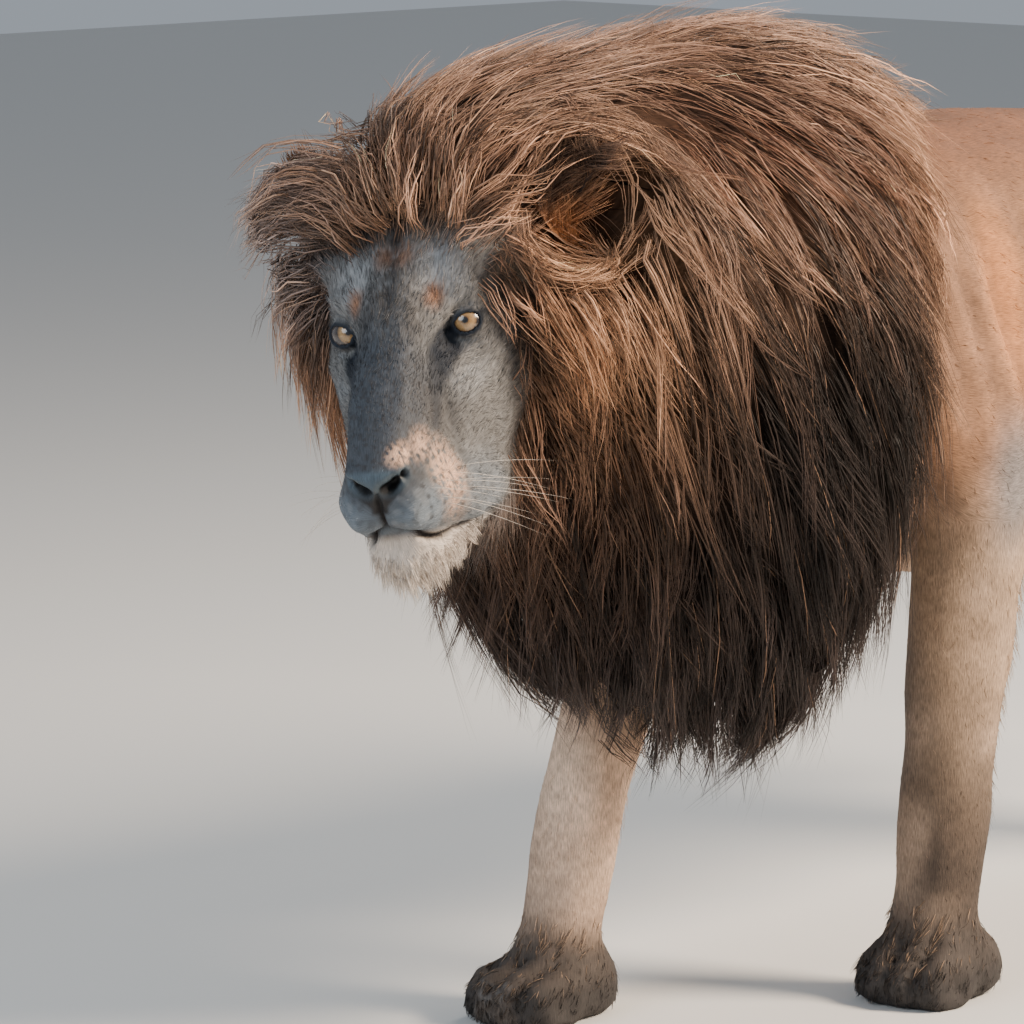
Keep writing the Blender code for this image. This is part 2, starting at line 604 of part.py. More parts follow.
def slab(levels, side, name, group, grow=0.0):
    """A cutter over one leg, lofted upwards through level rectangles."""
    bm = bmesh.new()
    rings = []
    for z, start, end, inner in levels:
        near, far = side * (inner - grow), side * SLAB_REACH
        start, end = start - grow, end + grow
        corners = [(near, start), (near, end), (far, end), (far, start)]
        rings.append([Vector((x, y, z)) for x, y in corners])
    rings[-1] = [point + Vector((0, 0, grow)) for point in rings[-1]]
    add_rings(bm, rings)
    bmesh.ops.triangulate(bm, faces=bm.faces)
    bmesh.ops.recalc_face_normals(bm, faces=bm.faces)
    return object_of(bm, name, group)


# ---------------------------------------------------------------- the lion
def head_place():
    turn = Matrix.Rotation(math.radians(HEAD_YAW), 4, "Z")
    nod = Matrix.Rotation(math.radians(HEAD_PITCH), 4, "X")
    roll = Matrix.Rotation(math.radians(HEAD_ROLL), 4, "Y")
    return Matrix.Translation(EYE_MIDDLE) @ turn @ nod @ roll @ Matrix.Scale(HEAD_SCALE, 4)


def mirrored(point):
    return Vector((-point[0], point[1], point[2]))


def mark_thinning(obj, weight_at):
    """Gives each point its share of the thinning: 1 for much, 0 for none."""
    group = obj.vertex_groups.new(name="thin_here")
    for vertex in obj.data.vertices:
        group.add([vertex.index], weight_at(vertex.co), "REPLACE")


def body_thinning(point):
    """Most under the mane, less on the smooth trunk and least on the legs and paws."""
    _, y, z = point
    if MANE_COVERS[0] < y < MANE_COVERS[1] and z > COVERED_ABOVE:
        return THIN_UNDER_MANE
    return THIN_TRUNK if z > LIMBS_BELOW else THIN_LIMBS


def make_flesh(helpers):
    """Trunk, neck, legs, paws and tail as one mesh, standing on flat soles at z = 0."""
    bm = bmesh.new()
    add_loft(bm, TRUNK)
    add_loft(bm, NECK)
    for leg in (LEFT_FORELEG, RIGHT_FORELEG, LEFT_HIND_LEG, RIGHT_HIND_LEG, TAIL):
        add_limb(bm, leg)
    for paw in PAWS.values():
        add_paw(bm, *paw)
    for middle, half_sizes in MASSES:
        add_ball(bm, middle, half_sizes)
    flesh = merged(bm, "flesh", helpers, BODY_VOXEL, BODY_SMOOTHING)
    mark_thinning(flesh, body_thinning)
    flesh = thinned(flesh, BODY_TRIANGLES, "thin_here")
    standing = half(flesh, (0, 0, 0), (0, 0, 1), "flesh_on_floor", helpers)
    bpy.data.objects.remove(flesh)
    return standing


def make_head(helpers, place):
    """Skull, muzzle and jaw in one mesh, with the eye sockets and the nostrils pressed in."""
    bm = bmesh.new()
    for sections in (SKULL, LOWER_JAW, BRIDGE):
        add_head_loft(bm, sections, place)
    for middle, half_sizes in HEAD_PAIRS:
        add_ball(bm, middle, half_sizes, place)
        add_ball(bm, mirrored(middle), half_sizes, place)
    for middle, half_sizes in HEAD_MIDDLE:
        add_ball(bm, middle, half_sizes, place)
    head = merged(bm, "head_whole", helpers, HEAD_VOXEL, HEAD_SMOOTHING)
    sculpt(head, HEAD_STROKES, place)
    into = place.inverted()
    mark_thinning(head, lambda point: THIN_UNDER_MANE if (into @ point).y > UNDER_MANE else THIN_FACE)
    return thinned(head, HEAD_TRIANGLES, "thin_here")


def make_eye(name, side, place, group):
    bm = bmesh.new()
    at = place @ Matrix.Translation((side * EYE_SIDE, EYE_DEPTH, 0))
    round_it, upwards = EYE_FACETS
    bmesh.ops.create_uvsphere(bm, u_segments=round_it, v_segments=upwards, radius=EYE_RADIUS, matrix=at)
    return object_of(bm, name, group)


def open_socket(head, eye, side, place, helpers):
    """Cuts the room for an eye into the head, and the gap between the lids in front of it."""
    head = boolean(head, grown(eye, GAP, helpers), "DIFFERENCE")
    bm = bmesh.new()
    at = place @ Matrix.Translation((side * EYE_SIDE, EYE_DEPTH - EYE_RADIUS, 0))
    at = at @ Matrix.Rotation(math.radians(90), 4, "X")
    bmesh.ops.create_cone(
        bm,
        cap_ends=True,
        segments=EYE_FACETS[0],
        radius1=LID_GAP,
        radius2=LID_GAP * LID_FLARE,
        depth=LID_DEPTH,
        matrix=at,
    )
    opening = object_of(bm, eye.name + "_opening", helpers)
    return largest_island(boolean(head, opening, "DIFFERENCE"))


def make_nose(place, group):
    """The nose pad, broad above and narrow towards the lip."""
    middle, half_sizes = NOSE
    bm = bmesh.new()
    bmesh.ops.create_uvsphere(bm, u_segments=NOSE_FACETS[0], v_segments=NOSE_FACETS[1], radius=1.0)
    wide, growth = NOSE_TAPER
    for vertex in bm.verts:
        vertex.co.x *= wide + growth * vertex.co.z
    at = place @ Matrix.Translation(middle) @ Matrix.Diagonal((*half_sizes, 1.0))
    bmesh.ops.transform(bm, verts=bm.verts, matrix=at)
    return object_of(bm, "nose", group)


def make_ear(name, place, group):
    """A rounded, cupped ear, open to the front and outwards."""
    wide, thick, high = EAR_SIZE
    bm = bmesh.new()
    bmesh.ops.create_uvsphere(bm, u_segments=EAR_FACETS[0], v_segments=EAR_FACETS[1], radius=1.0)
    for vertex in bm.verts:
        x, y, z = vertex.co
        hollow = EAR_CUP * max(0.0, 1 - x * x - z * z) if y < 0 else 0.0
        narrow = 1.0 if z > 0 else 1.0 + EAR_NARROWING * z
        vertex.co = Vector((x * wide * narrow, (y + hollow - EAR_CURL * x * x) * thick, z * high))
    side, base, lean = EARS[name]
    turn = Matrix.Rotation(math.radians(side * EAR_TURN), 4, "Z")
    tilt = Matrix.Rotation(math.radians(side * lean), 4, "Y")
    lift = Matrix.Translation((0, 0, high * EAR_LIFT))
    at = place @ Matrix.Translation(base) @ tilt @ turn @ lift
    bmesh.ops.transform(bm, verts=bm.verts, matrix=at)
    bmesh.ops.recalc_face_normals(bm, faces=bm.faces)
    return object_of(bm, name, group)


def make_ear_hollow(name, place, group):
    side, base, _ = EARS[name]
    offset = EAR_HOLLOW_AT if side > 0 else mirrored(EAR_HOLLOW_AT)
    bm = bmesh.new()
    add_ball(bm, base + offset, EAR_HOLLOW, place)
    return object_of(bm, name + "_hollow", group)


def make_mane(helpers, place):
    """The mane's closed envelope, out to the tips of its locks."""
    bm = bmesh.new()
    add_loft(bm, MANE)
    for middle, half_sizes in MANE_LOCKS:
        add_ball(bm, middle, half_sizes, place)
    mane = merged(bm, "mane", helpers, MANE_VOXEL, MANE_SMOOTHING)
    return thinned(mane, MANE_TRIANGLES)


def make_tail_tuft(helpers):
    bm = bmesh.new()
    add_limb(bm, TAIL_TUFT)
    tuft = merged(bm, "tail_tuft", helpers, TUFT_VOXEL, TUFT_SMOOTHING)
    return thinned(tuft, TUFT_TRIANGLES)


def part_legs(body, lion, helpers):
    """Cuts the four legs from the body, and each at its joints; returns the trunk that is left."""
    for leg, levels in LEG_SLABS.items():
        side = 1 if leg.startswith("left") else -1
        limb = object_copy(body, leg, helpers)
        limb = boolean(limb, slab(levels, side, leg + "_slab", helpers), "INTERSECT")
        room = slab(levels, side, leg + "_room", helpers, GAP)
        body = boolean(body, room, "DIFFERENCE")
        limb = largest_island(limb)
        names = [f"{leg}_{piece}" for piece in LEG_PIECES[leg.split("_")[1]]]
        for (point, normal), name in zip(LEG_CUTS[leg], names):
            _, limb = split(limb, point, normal, name, leg + "_rest", lion)
        limb.name = names[-1]
    return largest_island(body)


def object_copy(obj, name, group):
    made = bpy.data.objects.new(name, obj.data.copy())
    group.objects.link(made)
    return made


def part_trunk(body, lion):
    """Parts neck, chest, barrel, hindquarters and tail with planes across the body."""
    tail, body = split(body, (0, TAIL_CUT, 0), (0, 1, 0), "tail", "body", lion)
    hind, body = split(body, (0, BARREL_CUT, 0), (0, 1, 0), "hindquarters", "body_2", lion)
    barrel, body = split(body, (0, CHEST_CUT, 0), (0, 1, 0), "barrel", "body_3", lion)
    chest, neck = split(body, (0, NECK_CUT, 0), (0, 1, 0), "chest", "neck", lion)
    return neck, tail


def finish(lion):
    """Gives each part its material, shades it, and puts the origin under the middle of the lion."""
    corners = [v.co for obj in lion.objects for v in obj.data.vertices]
    low = Vector([min(c[i] for c in corners) for i in range(3)])
    high = Vector([max(c[i] for c in corners) for i in range(3)])
    move = Vector((-(low.x + high.x) / 2, -(low.y + high.y) / 2, -low.z))
    for obj in lion.objects:
        obj.vertex_groups.clear()
        obj.data.transform(Matrix.Translation(move))
        obj.data.materials.clear()
        obj.data.materials.append(material(finish_of(obj.name)))
        obj.data.shade_smooth()
        obj.data.set_sharp_from_angle(angle=math.radians(SHARP_ANGLE))
    return move


def finish_of(name):
    if name == "mane":
        return "mane_hair"
    if name == "tail_tuft":
        return "tuft_hair"
    if name == "nose":
        return "nose_leather"
    if name.startswith("eye"):
        return "eye_glass"
    if name in ("head", "lower_jaw") or name.startswith("ear"):
        return "face_coat"
    if name.endswith(("paw", "foot")):
        return "paw_coat"
    return "coat"


def main():
    clear_scene()
    lion = collection("lion")
    helpers = collection("cutters", hidden=True)
    place = head_place()

    flesh = make_flesh(helpers)
    head = make_head(helpers, place)
    mane = make_mane(helpers, place)
    tuft = make_tail_tuft(helpers)

    head_room = grown(head, HEAD_GAP, helpers)
    nose = make_nose(place, lion)
    for name, side in (("eye_left", 1), ("eye_right", -1)):
        eye = make_eye(name, side, place, lion)
        head = open_socket(head, eye, side, place, helpers)
    head = largest_island(boolean(head, grown(nose, GAP, helpers), "DIFFERENCE"))

    mane = boolean(mane, grown(flesh, GAP, helpers), "DIFFERENCE")
    mane = boolean(mane, head_room, "DIFFERENCE")
    for name in EARS:
        ear = make_ear(name, place, lion)
        mane = boolean(mane, make_ear_hollow(name, place, helpers), "DIFFERENCE")
        mane = boolean(mane, grown(ear, EAR_GAP, helpers), "DIFFERENCE")
        largest_island(boolean(ear, head_room, "DIFFERENCE"))
    mane = largest_island(mane)
    lion.objects.link(mane)
    helpers.objects.unlink(mane)

    body = part_legs(boolean(flesh, head_room, "DIFFERENCE"), lion, helpers)
    neck, tail = part_trunk(body, lion)
    tail = boolean(tail, grown(tuft, GAP, helpers), "DIFFERENCE")
    split(largest_island(tail), (0, 0, TAIL_MIDDLE_CUT), (0, 0, 1), "tail_root", "tail_switch", lion)
    lion.objects.link(tuft)
    helpers.objects.unlink(tuft)

    point, normal = JAW_CUT
    normal = (place.to_3x3() @ Vector(normal)).normalized()
    split(head, place @ Vector(point), normal, "head", "lower_jaw", lion)
    finish(lion)


main()
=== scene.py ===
"""The looks of a life-size male lion in mid-stride: one skin, glassy eyes, and a coat of solid tufts.

Frame: metres, +Z up; the lion walks towards -Y and its left side is +X. The head has a frame of its own:
its origin is midway between the pupils, -Y runs along the muzzle, +Z is up and +X the lion's left.
"""

import json
import math

import bmesh
import bpy
import numpy as np
from mathutils import Matrix, Vector
from mathutils.bvhtree import BVHTree

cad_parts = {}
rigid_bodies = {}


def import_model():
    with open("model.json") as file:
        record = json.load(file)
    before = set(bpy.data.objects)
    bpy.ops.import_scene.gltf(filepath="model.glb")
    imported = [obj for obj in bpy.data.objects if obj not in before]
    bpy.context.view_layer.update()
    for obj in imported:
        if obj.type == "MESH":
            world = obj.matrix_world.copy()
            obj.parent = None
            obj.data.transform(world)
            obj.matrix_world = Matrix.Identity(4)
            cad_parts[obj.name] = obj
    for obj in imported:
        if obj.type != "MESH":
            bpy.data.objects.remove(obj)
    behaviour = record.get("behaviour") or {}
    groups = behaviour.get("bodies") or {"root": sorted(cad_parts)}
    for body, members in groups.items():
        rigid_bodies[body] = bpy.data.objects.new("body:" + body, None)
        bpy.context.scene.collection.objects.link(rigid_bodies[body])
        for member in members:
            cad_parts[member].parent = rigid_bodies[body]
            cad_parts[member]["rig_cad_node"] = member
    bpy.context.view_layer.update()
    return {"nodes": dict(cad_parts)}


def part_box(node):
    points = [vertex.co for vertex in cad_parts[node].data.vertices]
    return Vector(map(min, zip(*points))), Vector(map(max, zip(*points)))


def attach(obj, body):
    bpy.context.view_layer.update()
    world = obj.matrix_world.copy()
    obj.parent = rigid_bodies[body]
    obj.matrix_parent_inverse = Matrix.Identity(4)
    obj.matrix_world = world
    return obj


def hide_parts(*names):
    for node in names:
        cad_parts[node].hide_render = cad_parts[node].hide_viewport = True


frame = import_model()
rng = np.random.default_rng(7)

# ---------------------------------------------------------------- nodes and the head's frame
HEAD_FLESH = ("head", "lower_jaw", "nose", "ear_left", "ear_right", "neck")
HAIR_NODES = ("mane", "tail_tuft")
EYES = ("eye_left", "eye_right")
EARS = ("ear_left", "ear_right")
FLESH = tuple(n for n in sorted(frame["nodes"]) if n not in HAIR_NODES + EYES)
BODY_FLESH = tuple(n for n in FLESH if n not in HEAD_FLESH or n == "neck")
HEAD_YAW, HEAD_PITCH, HEAD_ROLL = 29.0, 16.0, -8.0
HEAD_SCALE = 1.05
PUPIL_DEPTH = 0.0125  # from the middle of an eyeball forward to its pupil's plane


def middle_of(node):
    low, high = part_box(node)
    return (low + high) / 2


head_turn = (
    Matrix.Rotation(math.radians(HEAD_YAW), 3, "Z")
    @ Matrix.Rotation(math.radians(HEAD_PITCH), 3, "X")
    @ Matrix.Rotation(math.radians(HEAD_ROLL), 3, "Y")
)
eye_middle = (middle_of("eye_left") + middle_of("eye_right")) / 2
head_origin = eye_middle + head_turn @ Vector((0, -PUPIL_DEPTH * HEAD_SCALE, 0))
HEAD_AXES = np.array(head_turn)
HEAD_ORIGIN = np.array(head_origin)


def to_head(points):
    return (np.asarray(points) - HEAD_ORIGIN) @ HEAD_AXES / HEAD_SCALE


def from_head(points):
    return (np.asarray(points) * HEAD_SCALE) @ HEAD_AXES.T + HEAD_ORIGIN


def turned_from_head(directions):
    return np.asarray(directions) @ HEAD_AXES.T


# ---------------------------------------------------------------- small tools
def ease(x, start, end):
    t = np.clip((x - start) / (end - start), 0.0, 1.0)
    return t * t * (3 - 2 * t)


def unit(vectors):
    return vectors / np.maximum(np.linalg.norm(vectors, axis=-1, keepdims=True), 1e-9)


def ripple(points, size, seed):
    """A smooth random field between about -1 and 1, whose waves are about size long."""
    draw = np.random.default_rng(seed)
    waves = unit(draw.normal(size=(14, 3))) * (2 * math.pi / size) * draw.uniform(0.6, 1.6, (14, 1))
    phases = draw.uniform(0, 2 * math.pi, 14)
    return np.sin(points @ waves.T + phases).sum(1) / 4.5


def spot(points, middle, radii, soft=0.5):
    """1 in an ellipsoid, falling to 0 over soft of its radii outside."""
    away = np.linalg.norm((points - np.array(middle)) / np.array(radii), axis=1)
    return 1 - ease(away, 1 - soft, 1 + soft)


def line_distance(points, line):
    """How far each point is from a line through some points, and how far along it, from 0 to 1."""
    line = np.array(line, float)
    best = np.full(len(points), 1e9)
    along = np.zeros(len(points))
    spans = len(line) - 1
    for i in range(spans):
        start, run = line[i], line[i + 1] - line[i]
        t = np.clip(((points - start) @ run) / (run @ run), 0, 1)
        away = np.linalg.norm(points - start - t[:, None] * run, axis=1)
        nearer = away < best
        best[nearer] = away[nearer]
        along[nearer] = (i + t[nearer]) / spans
    return best, along


def blend(under, colour, mask):
    return under + (np.array(colour) - under) * mask[:, None]


def link(name, mesh):
    obj = bpy.data.objects.new(name, mesh)
    bpy.context.scene.collection.objects.link(obj)
    return obj


def points_of(mesh):
    flat = np.empty(len(mesh.vertices) * 3, np.float32)
    mesh.vertices.foreach_get("co", flat)
    return flat.reshape(-1, 3).astype(float)


def normals_of(mesh):
    flat = np.empty(len(mesh.vertices) * 3, np.float32)
    mesh.vertex_normals.foreach_get("vector", flat)
    return flat.reshape(-1, 3).astype(float)


def triangles_of(mesh):
    mesh.calc_loop_triangles()
    flat = np.empty(len(mesh.loop_triangles) * 3, np.int32)
    mesh.loop_triangles.foreach_get("vertices", flat)
    return flat.reshape(-1, 3)


def edges_of(mesh):
    flat = np.empty(len(mesh.edges) * 2, np.int32)
    mesh.edges.foreach_get("vertices", flat)
    return flat.reshape(-1, 2)


def tree_of(points, triangles):
    return BVHTree.FromPolygons(points.tolist(), triangles.tolist())


def resampled(path, steps):
    """Evenly spaced points on a line through some points."""
    path = np.array(path, float)
    runs = np.concatenate([[0], np.cumsum(np.linalg.norm(np.diff(path, axis=0), axis=1))])
    t = np.linspace(0, runs[-1], steps)
    return np.column_stack([np.interp(t, runs, path[:, k]) for k in range(3)])


def set_points(mesh, points):
    mesh.vertices.foreach_set("co", points.astype(np.float32).ravel())
    mesh.update()


# ---------------------------------------------------------------- the flesh as one surface
BODY_GRAIN, HEAD_GRAIN = 0.0108, 0.0042
CLOSING = 0.001  # how far the nodes grow, so that their gaps close
NECK_JOIN = 0.008  # half the width of the strip that joins head and body, under the mane


def joined_copy(names, name):
    work = bmesh.new()
    for node in names:
        work.from_mesh(frame["nodes"][node].data)
    bmesh.ops.remove_doubles(work, verts=work.verts, dist=1e-5)
    work.normal_update()
    for vert in work.verts:
        vert.co += vert.normal * CLOSING
    mesh = bpy.data.meshes.new(name)
    work.to_mesh(mesh)
    work.free()
    return mesh


def remeshed(names, grain, name):
    obj = link(name, joined_copy(names, name))
    remesh = obj.modifiers.new("remesh", "REMESH")
    remesh.mode = "VOXEL"
    remesh.voxel_size = grain
    done = bpy.data.meshes.new_from_object(obj.evaluated_get(bpy.context.evaluated_depsgraph_get()))
    bpy.data.objects.remove(obj)
    return done


def evened(points, edges, rounds, strength=1.0):
    """Smooths a surface without shrinking it."""
    a, b = edges.T
    n = len(points)
    count = (np.bincount(a, minlength=n) + np.bincount(b, minlength=n)).clip(1)[:, None]
    for _ in range(rounds):
        for step in (0.5, -0.515):
            total = np.stack(
                [np.bincount(a, points[b, k], n) + np.bincount(b, points[a, k], n) for k in range(3)], 1
            )
            points = points + step * strength * (total / count - points)
    return points


def make_skin():
    low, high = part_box("neck")
    join_at = low.y + 0.14 * (high.y - low.y)
    work = bmesh.new()
    for names, grain, side in ((HEAD_FLESH + EYES, HEAD_GRAIN, -1), (BODY_FLESH, BODY_GRAIN, 1)):
        mesh = remeshed(names, grain, "flesh")
        part = bmesh.new()
        part.from_mesh(mesh)
        bmesh.ops.bisect_plane(
            part,
            geom=part.verts[:] + part.edges[:] + part.faces[:],
            plane_co=(0, join_at + side * NECK_JOIN, 0),
            plane_no=(0, side, 0),
            clear_inner=True,
        )
        part.to_mesh(mesh)
        part.free()
        work.from_mesh(mesh)
        bpy.data.meshes.remove(mesh)
    rim = [edge for edge in work.edges if edge.is_boundary]
    bmesh.ops.bridge_loops(work, edges=rim)
    bmesh.ops.triangulate(work, faces=work.faces)
    mesh = bpy.data.meshes.new("skin")
    work.to_mesh(mesh)
    work.free()
    points, edges = points_of(mesh), edges_of(mesh)
    set_points(mesh, evened(points, edges, 45))
    return mesh


def subdivided(mesh, middle, reach):
    """Halves the edges of the skin inside a ball of the head's frame."""
    near = np.linalg.norm(to_head(points_of(mesh)) - np.array(middle), axis=1) < reach
    work = bmesh.new()
    work.from_mesh(mesh)
    work.verts.ensure_lookup_table()
    chosen = [e for e in work.edges if near[e.verts[0].index] and near[e.verts[1].index]]
    bmesh.ops.subdivide_edges(work, edges=chosen, cuts=1, use_grid_fill=True)
    bmesh.ops.triangulate(work, faces=[f for f in work.faces if len(f.verts) > 3])
    work.to_mesh(mesh)
    work.free()
    mesh.update()


# ---------------------------------------------------------------- depth of the coat
def coat_depth(points):
    local = to_head(points)
    depth = np.full(len(points), 0.0075)
    depth -= 0.002 * (1 - ease(points[:, 2], 0.25, 0.60))
    depth -= 0.0015 * (1 - ease(points[:, 2], 0.05, 0.12))
    face = (1 - ease(local[:, 1], 0.04, 0.12)) * (points[:, 1] < -0.70)
    depth += (0.0030 - depth) * face
    ears = np.zeros(len(points))
    for node in EARS:
        ears = np.maximum(ears, spot(points, middle_of(node), (0.07, 0.07, 0.08), 0.3))
    depth += (0.0022 - depth) * ears
    depth += (0.0030 - depth) * ease(points[:, 1], 0.965, 0.995)  # the tail
    return depth * ease(points[:, 2], 0.010, 0.028)


# ---------------------------------------------------------------- sculpting the head, in its own frame
# A stroke pushes the skin near its middle: middle, reach, push. Pairs are for the left side too.
PAIR_STROKES = [
    ((0.050, -0.022, 0.030), 0.017, (0.002, -0.006, 0.001)),  # brow over the eye
    ((0.084, 0.010, 0.020), 0.018, (0.004, -0.002, 0.001)),  # outer end of the brow
    ((0.036, -0.046, -0.008), 0.013, (-0.004, 0.004, 0.000)),  # root of the muzzle beside the eye
    ((0.062, -0.048, -0.040), 0.018, (0.003, -0.003, -0.001)),  # bag under the eye
    ((0.060, -0.075, -0.070), 0.024, (-0.005, 0.003, 0.001)),  # hollow before the cheek
    ((0.040, -0.110, -0.040), 0.018, (0.003, -0.001, 0.002)),  # side of the bridge
    ((0.046, -0.128, -0.124), 0.026, (0.009, -0.003, -0.003)),  # whisker pad
    ((0.022, -0.172, -0.128), 0.014, (0.002, -0.006, -0.003)),  # lip beside the cleft
    ((0.058, -0.085, -0.158), 0.020, (0.005, -0.001, -0.004)),  # hanging lip
    ((0.032, -0.178, -0.076), 0.011, (0.004, -0.003, 0.003)),  # wing of the nostril
]
NOSTRIL_STROKES = [  # laid on the skin first
    ((0.012, -0.198, -0.099), 0.0062, (0.000, 0.010, 0.003)),
    ((0.020, -0.194, -0.096), 0.0064, (-0.001, 0.014, 0.001)),
    ((0.028, -0.187, -0.090), 0.0060, (-0.004, 0.012, 0.000)),
    ((0.035, -0.177, -0.085), 0.0048, (-0.006, 0.008, 0.000)),
]
MIDDLE_STROKES = [
    ((0.000, -0.155, -0.200), 0.022, (0.000, -0.004, -0.001)),  # chin
    ((0.000, 0.015, 0.086), 0.016, (0.000, 0.001, -0.005)),  # valley of the forehead
]
# Grooves: a line through some points, its half width and its depth.
MOUTH = [
    (0.000, -0.178, -0.143),
    (0.014, -0.176, -0.154),
    (0.030, -0.163, -0.160),
    (0.057, -0.120, -0.174),
    (0.072, -0.070, -0.184),
    (0.080, -0.028, -0.186),
]
CLEFT = [(0.000, -0.202, -0.106), (0.000, -0.192, -0.124), (0.000, -0.178, -0.143)]
FROWN = [(0.000, 0.030, 0.098), (0.000, -0.010, 0.070), (0.000, -0.046, 0.042)]
CHEEK_FOLD = [(0.050, -0.066, -0.056), (0.064, -0.082, -0.100), (0.070, -0.080, -0.150)]
EYE_FOLD = [(0.040, -0.050, -0.022), (0.056, -0.050, -0.036), (0.076, -0.030, -0.030)]
GROOVES = {
    "mouth": (MOUTH, 0.0040, 0.0105),
    "cleft": (CLEFT, 0.0026, 0.0060),
    "frown": (FROWN, 0.0070, 0.0034),
    "cheek_fold": (CHEEK_FOLD, 0.0080, 0.0034),
    "eye_fold": (EYE_FOLD, 0.0030, 0.0018),
}


def folded(local):
    """The same points on the left side of the head."""
    out = local.copy()
    out[:, 0] = np.abs(out[:, 0])
    return out


def stroked(local, strokes, mirrored):
    """How far the strokes push points of the head's frame."""
    near = folded(local) if mirrored else local
    side = np.where(local[:, 0] < 0, -1.0, 1.0) if mirrored else np.ones(len(local))
    move = np.zeros_like(local)
    for middle, reach, push in strokes:
        weight = np.exp(-((np.linalg.norm(near - np.array(middle), axis=1) / reach) ** 2))
        move += weight[:, None] * (np.outer(side, [push[0], 0, 0]) + np.array([0, push[1], push[2]]))
    return move


def sculpted_head(points, normals, triangles, marks):
    """Presses the face's forms and grooves, and notes in marks how near each point is to a groove."""
    tree = tree_of(points, triangles)
    local = to_head(points)
    left = folded(local)
    move = stroked(local, PAIR_STROKES, True) + stroked(local, MIDDLE_STROKES, False)
    inward = -(normals @ HEAD_AXES)
    for name, (line, width, depth) in GROOVES.items():
        laid = [tree.find_nearest(Vector(at))[0] for at in from_head(resampled(line, 16))]
        away, along = line_distance(left, folded(to_head(laid)))
        groove = np.exp(-((away / width) ** 2))
        marks[name] = np.exp(-((away / (width * 0.9)) ** 4)) * (1 - ease(along, 0.94, 1.0))
        move += inward * (depth * groove * (1 - 0.7 * ease(along, 0.8, 1.0)))[:, None]
    laid = [tree.find_nearest(Vector(from_head([at])[0]))[0] for at, _, _ in NOSTRIL_STROKES]
    holes = zip(folded(to_head(laid)), NOSTRIL_STROKES)
    hole = stroked(local, [(at, reach, push) for at, (_, reach, push) in holes], True)
    marks["nostril"] = ease(np.linalg.norm(hole, axis=1), 0.0035, 0.0080)
    return from_head(local + move + hole)


# ---------------------------------------------------------------- eyes and lids
EYE_RADIUS = 0.0205
GAZE = np.array([0.24, -0.88, 0.40])  # in the head's frame
LID_FACING = {1: np.array([0.36, -0.88, 0.30]), -1: np.array([-0.30, -0.90, 0.30])}
LID_SLANT = 17.0  # degrees that the outer corner stands higher
LID_HALF_WIDTH, LID_UP, LID_DOWN = 0.0136, 0.0080, 0.0104
LID_THICK = 0.0016


def eye_frame(side):
    """The eyeball's middle and the lids' own axes: outwards, up and out of the head."""
    middle = np.array(middle_of("eye_left" if side > 0 else "eye_right"))
    out = unit(turned_from_head(unit(LID_FACING[side])))
    across = turned_from_head(np.array([side, 0.0, 0.0]))
    across = unit(across - out * (across @ out))
    up = np.cross(out, across) * side
    up = unit(up if up[2] > 0 else -up)
    slant = math.radians(LID_SLANT)
    return (
        middle,
        math.cos(slant) * across + math.sin(slant) * up,
        math.cos(slant) * up - math.sin(slant) * across,
        out,
    )


def lid_edge(points, side):
    """Signed distance from the lids' edge, less than 0 in the opening, and the place on the lids' axes."""
    middle, across, up, out = eye_frame(side)
    offset = points - middle
    u, v, w = offset @ across, offset @ up, offset @ out
    tall = np.where(v > 0, LID_UP, LID_DOWN)
    shape = np.sqrt((u / LID_HALF_WIDTH) ** 2 + (v / tall) ** 2)
    return (shape - 1) * np.where(np.abs(u) > LID_HALF_WIDTH * 0.8, LID_HALF_WIDTH, tall), u, v, w


def sculpted_lids(points):
    for side in (1, -1):
        middle, across, up, out = eye_frame(side)
        edge, u, v, w = lid_edge(points, side)
        flat = np.sqrt(u**2 + v**2)
        ball = np.sqrt(np.maximum(EYE_RADIUS**2 - flat**2, 0.0))
        lid = np.where(flat < EYE_RADIUS * 0.93, ball, EYE_RADIUS * 0.37) + LID_THICK
        lid = lid + 0.0020 * np.exp(-(((edge - 0.0035) / 0.0022) ** 2))
        lid = lid - 0.0026 * np.exp(-(((edge - 0.0080) / 0.0018) ** 2)) * (v > -0.004)
        lid = lid + 0.0050 * ease(v, 0.002, 0.014) * ease(edge, 0.006, 0.016)
        keep = ease(edge, 0.0045, 0.0150)
        target = lid * (1 - keep) + w * keep
        target = np.where(edge < 0, ball - 0.005 - 0.002 * ease(-edge, 0, 0.004), target)
        near = (w > -0.012) & (flat < 0.040)
        points = points + np.where(near, target - w, 0.0)[:, None] * out
    return points


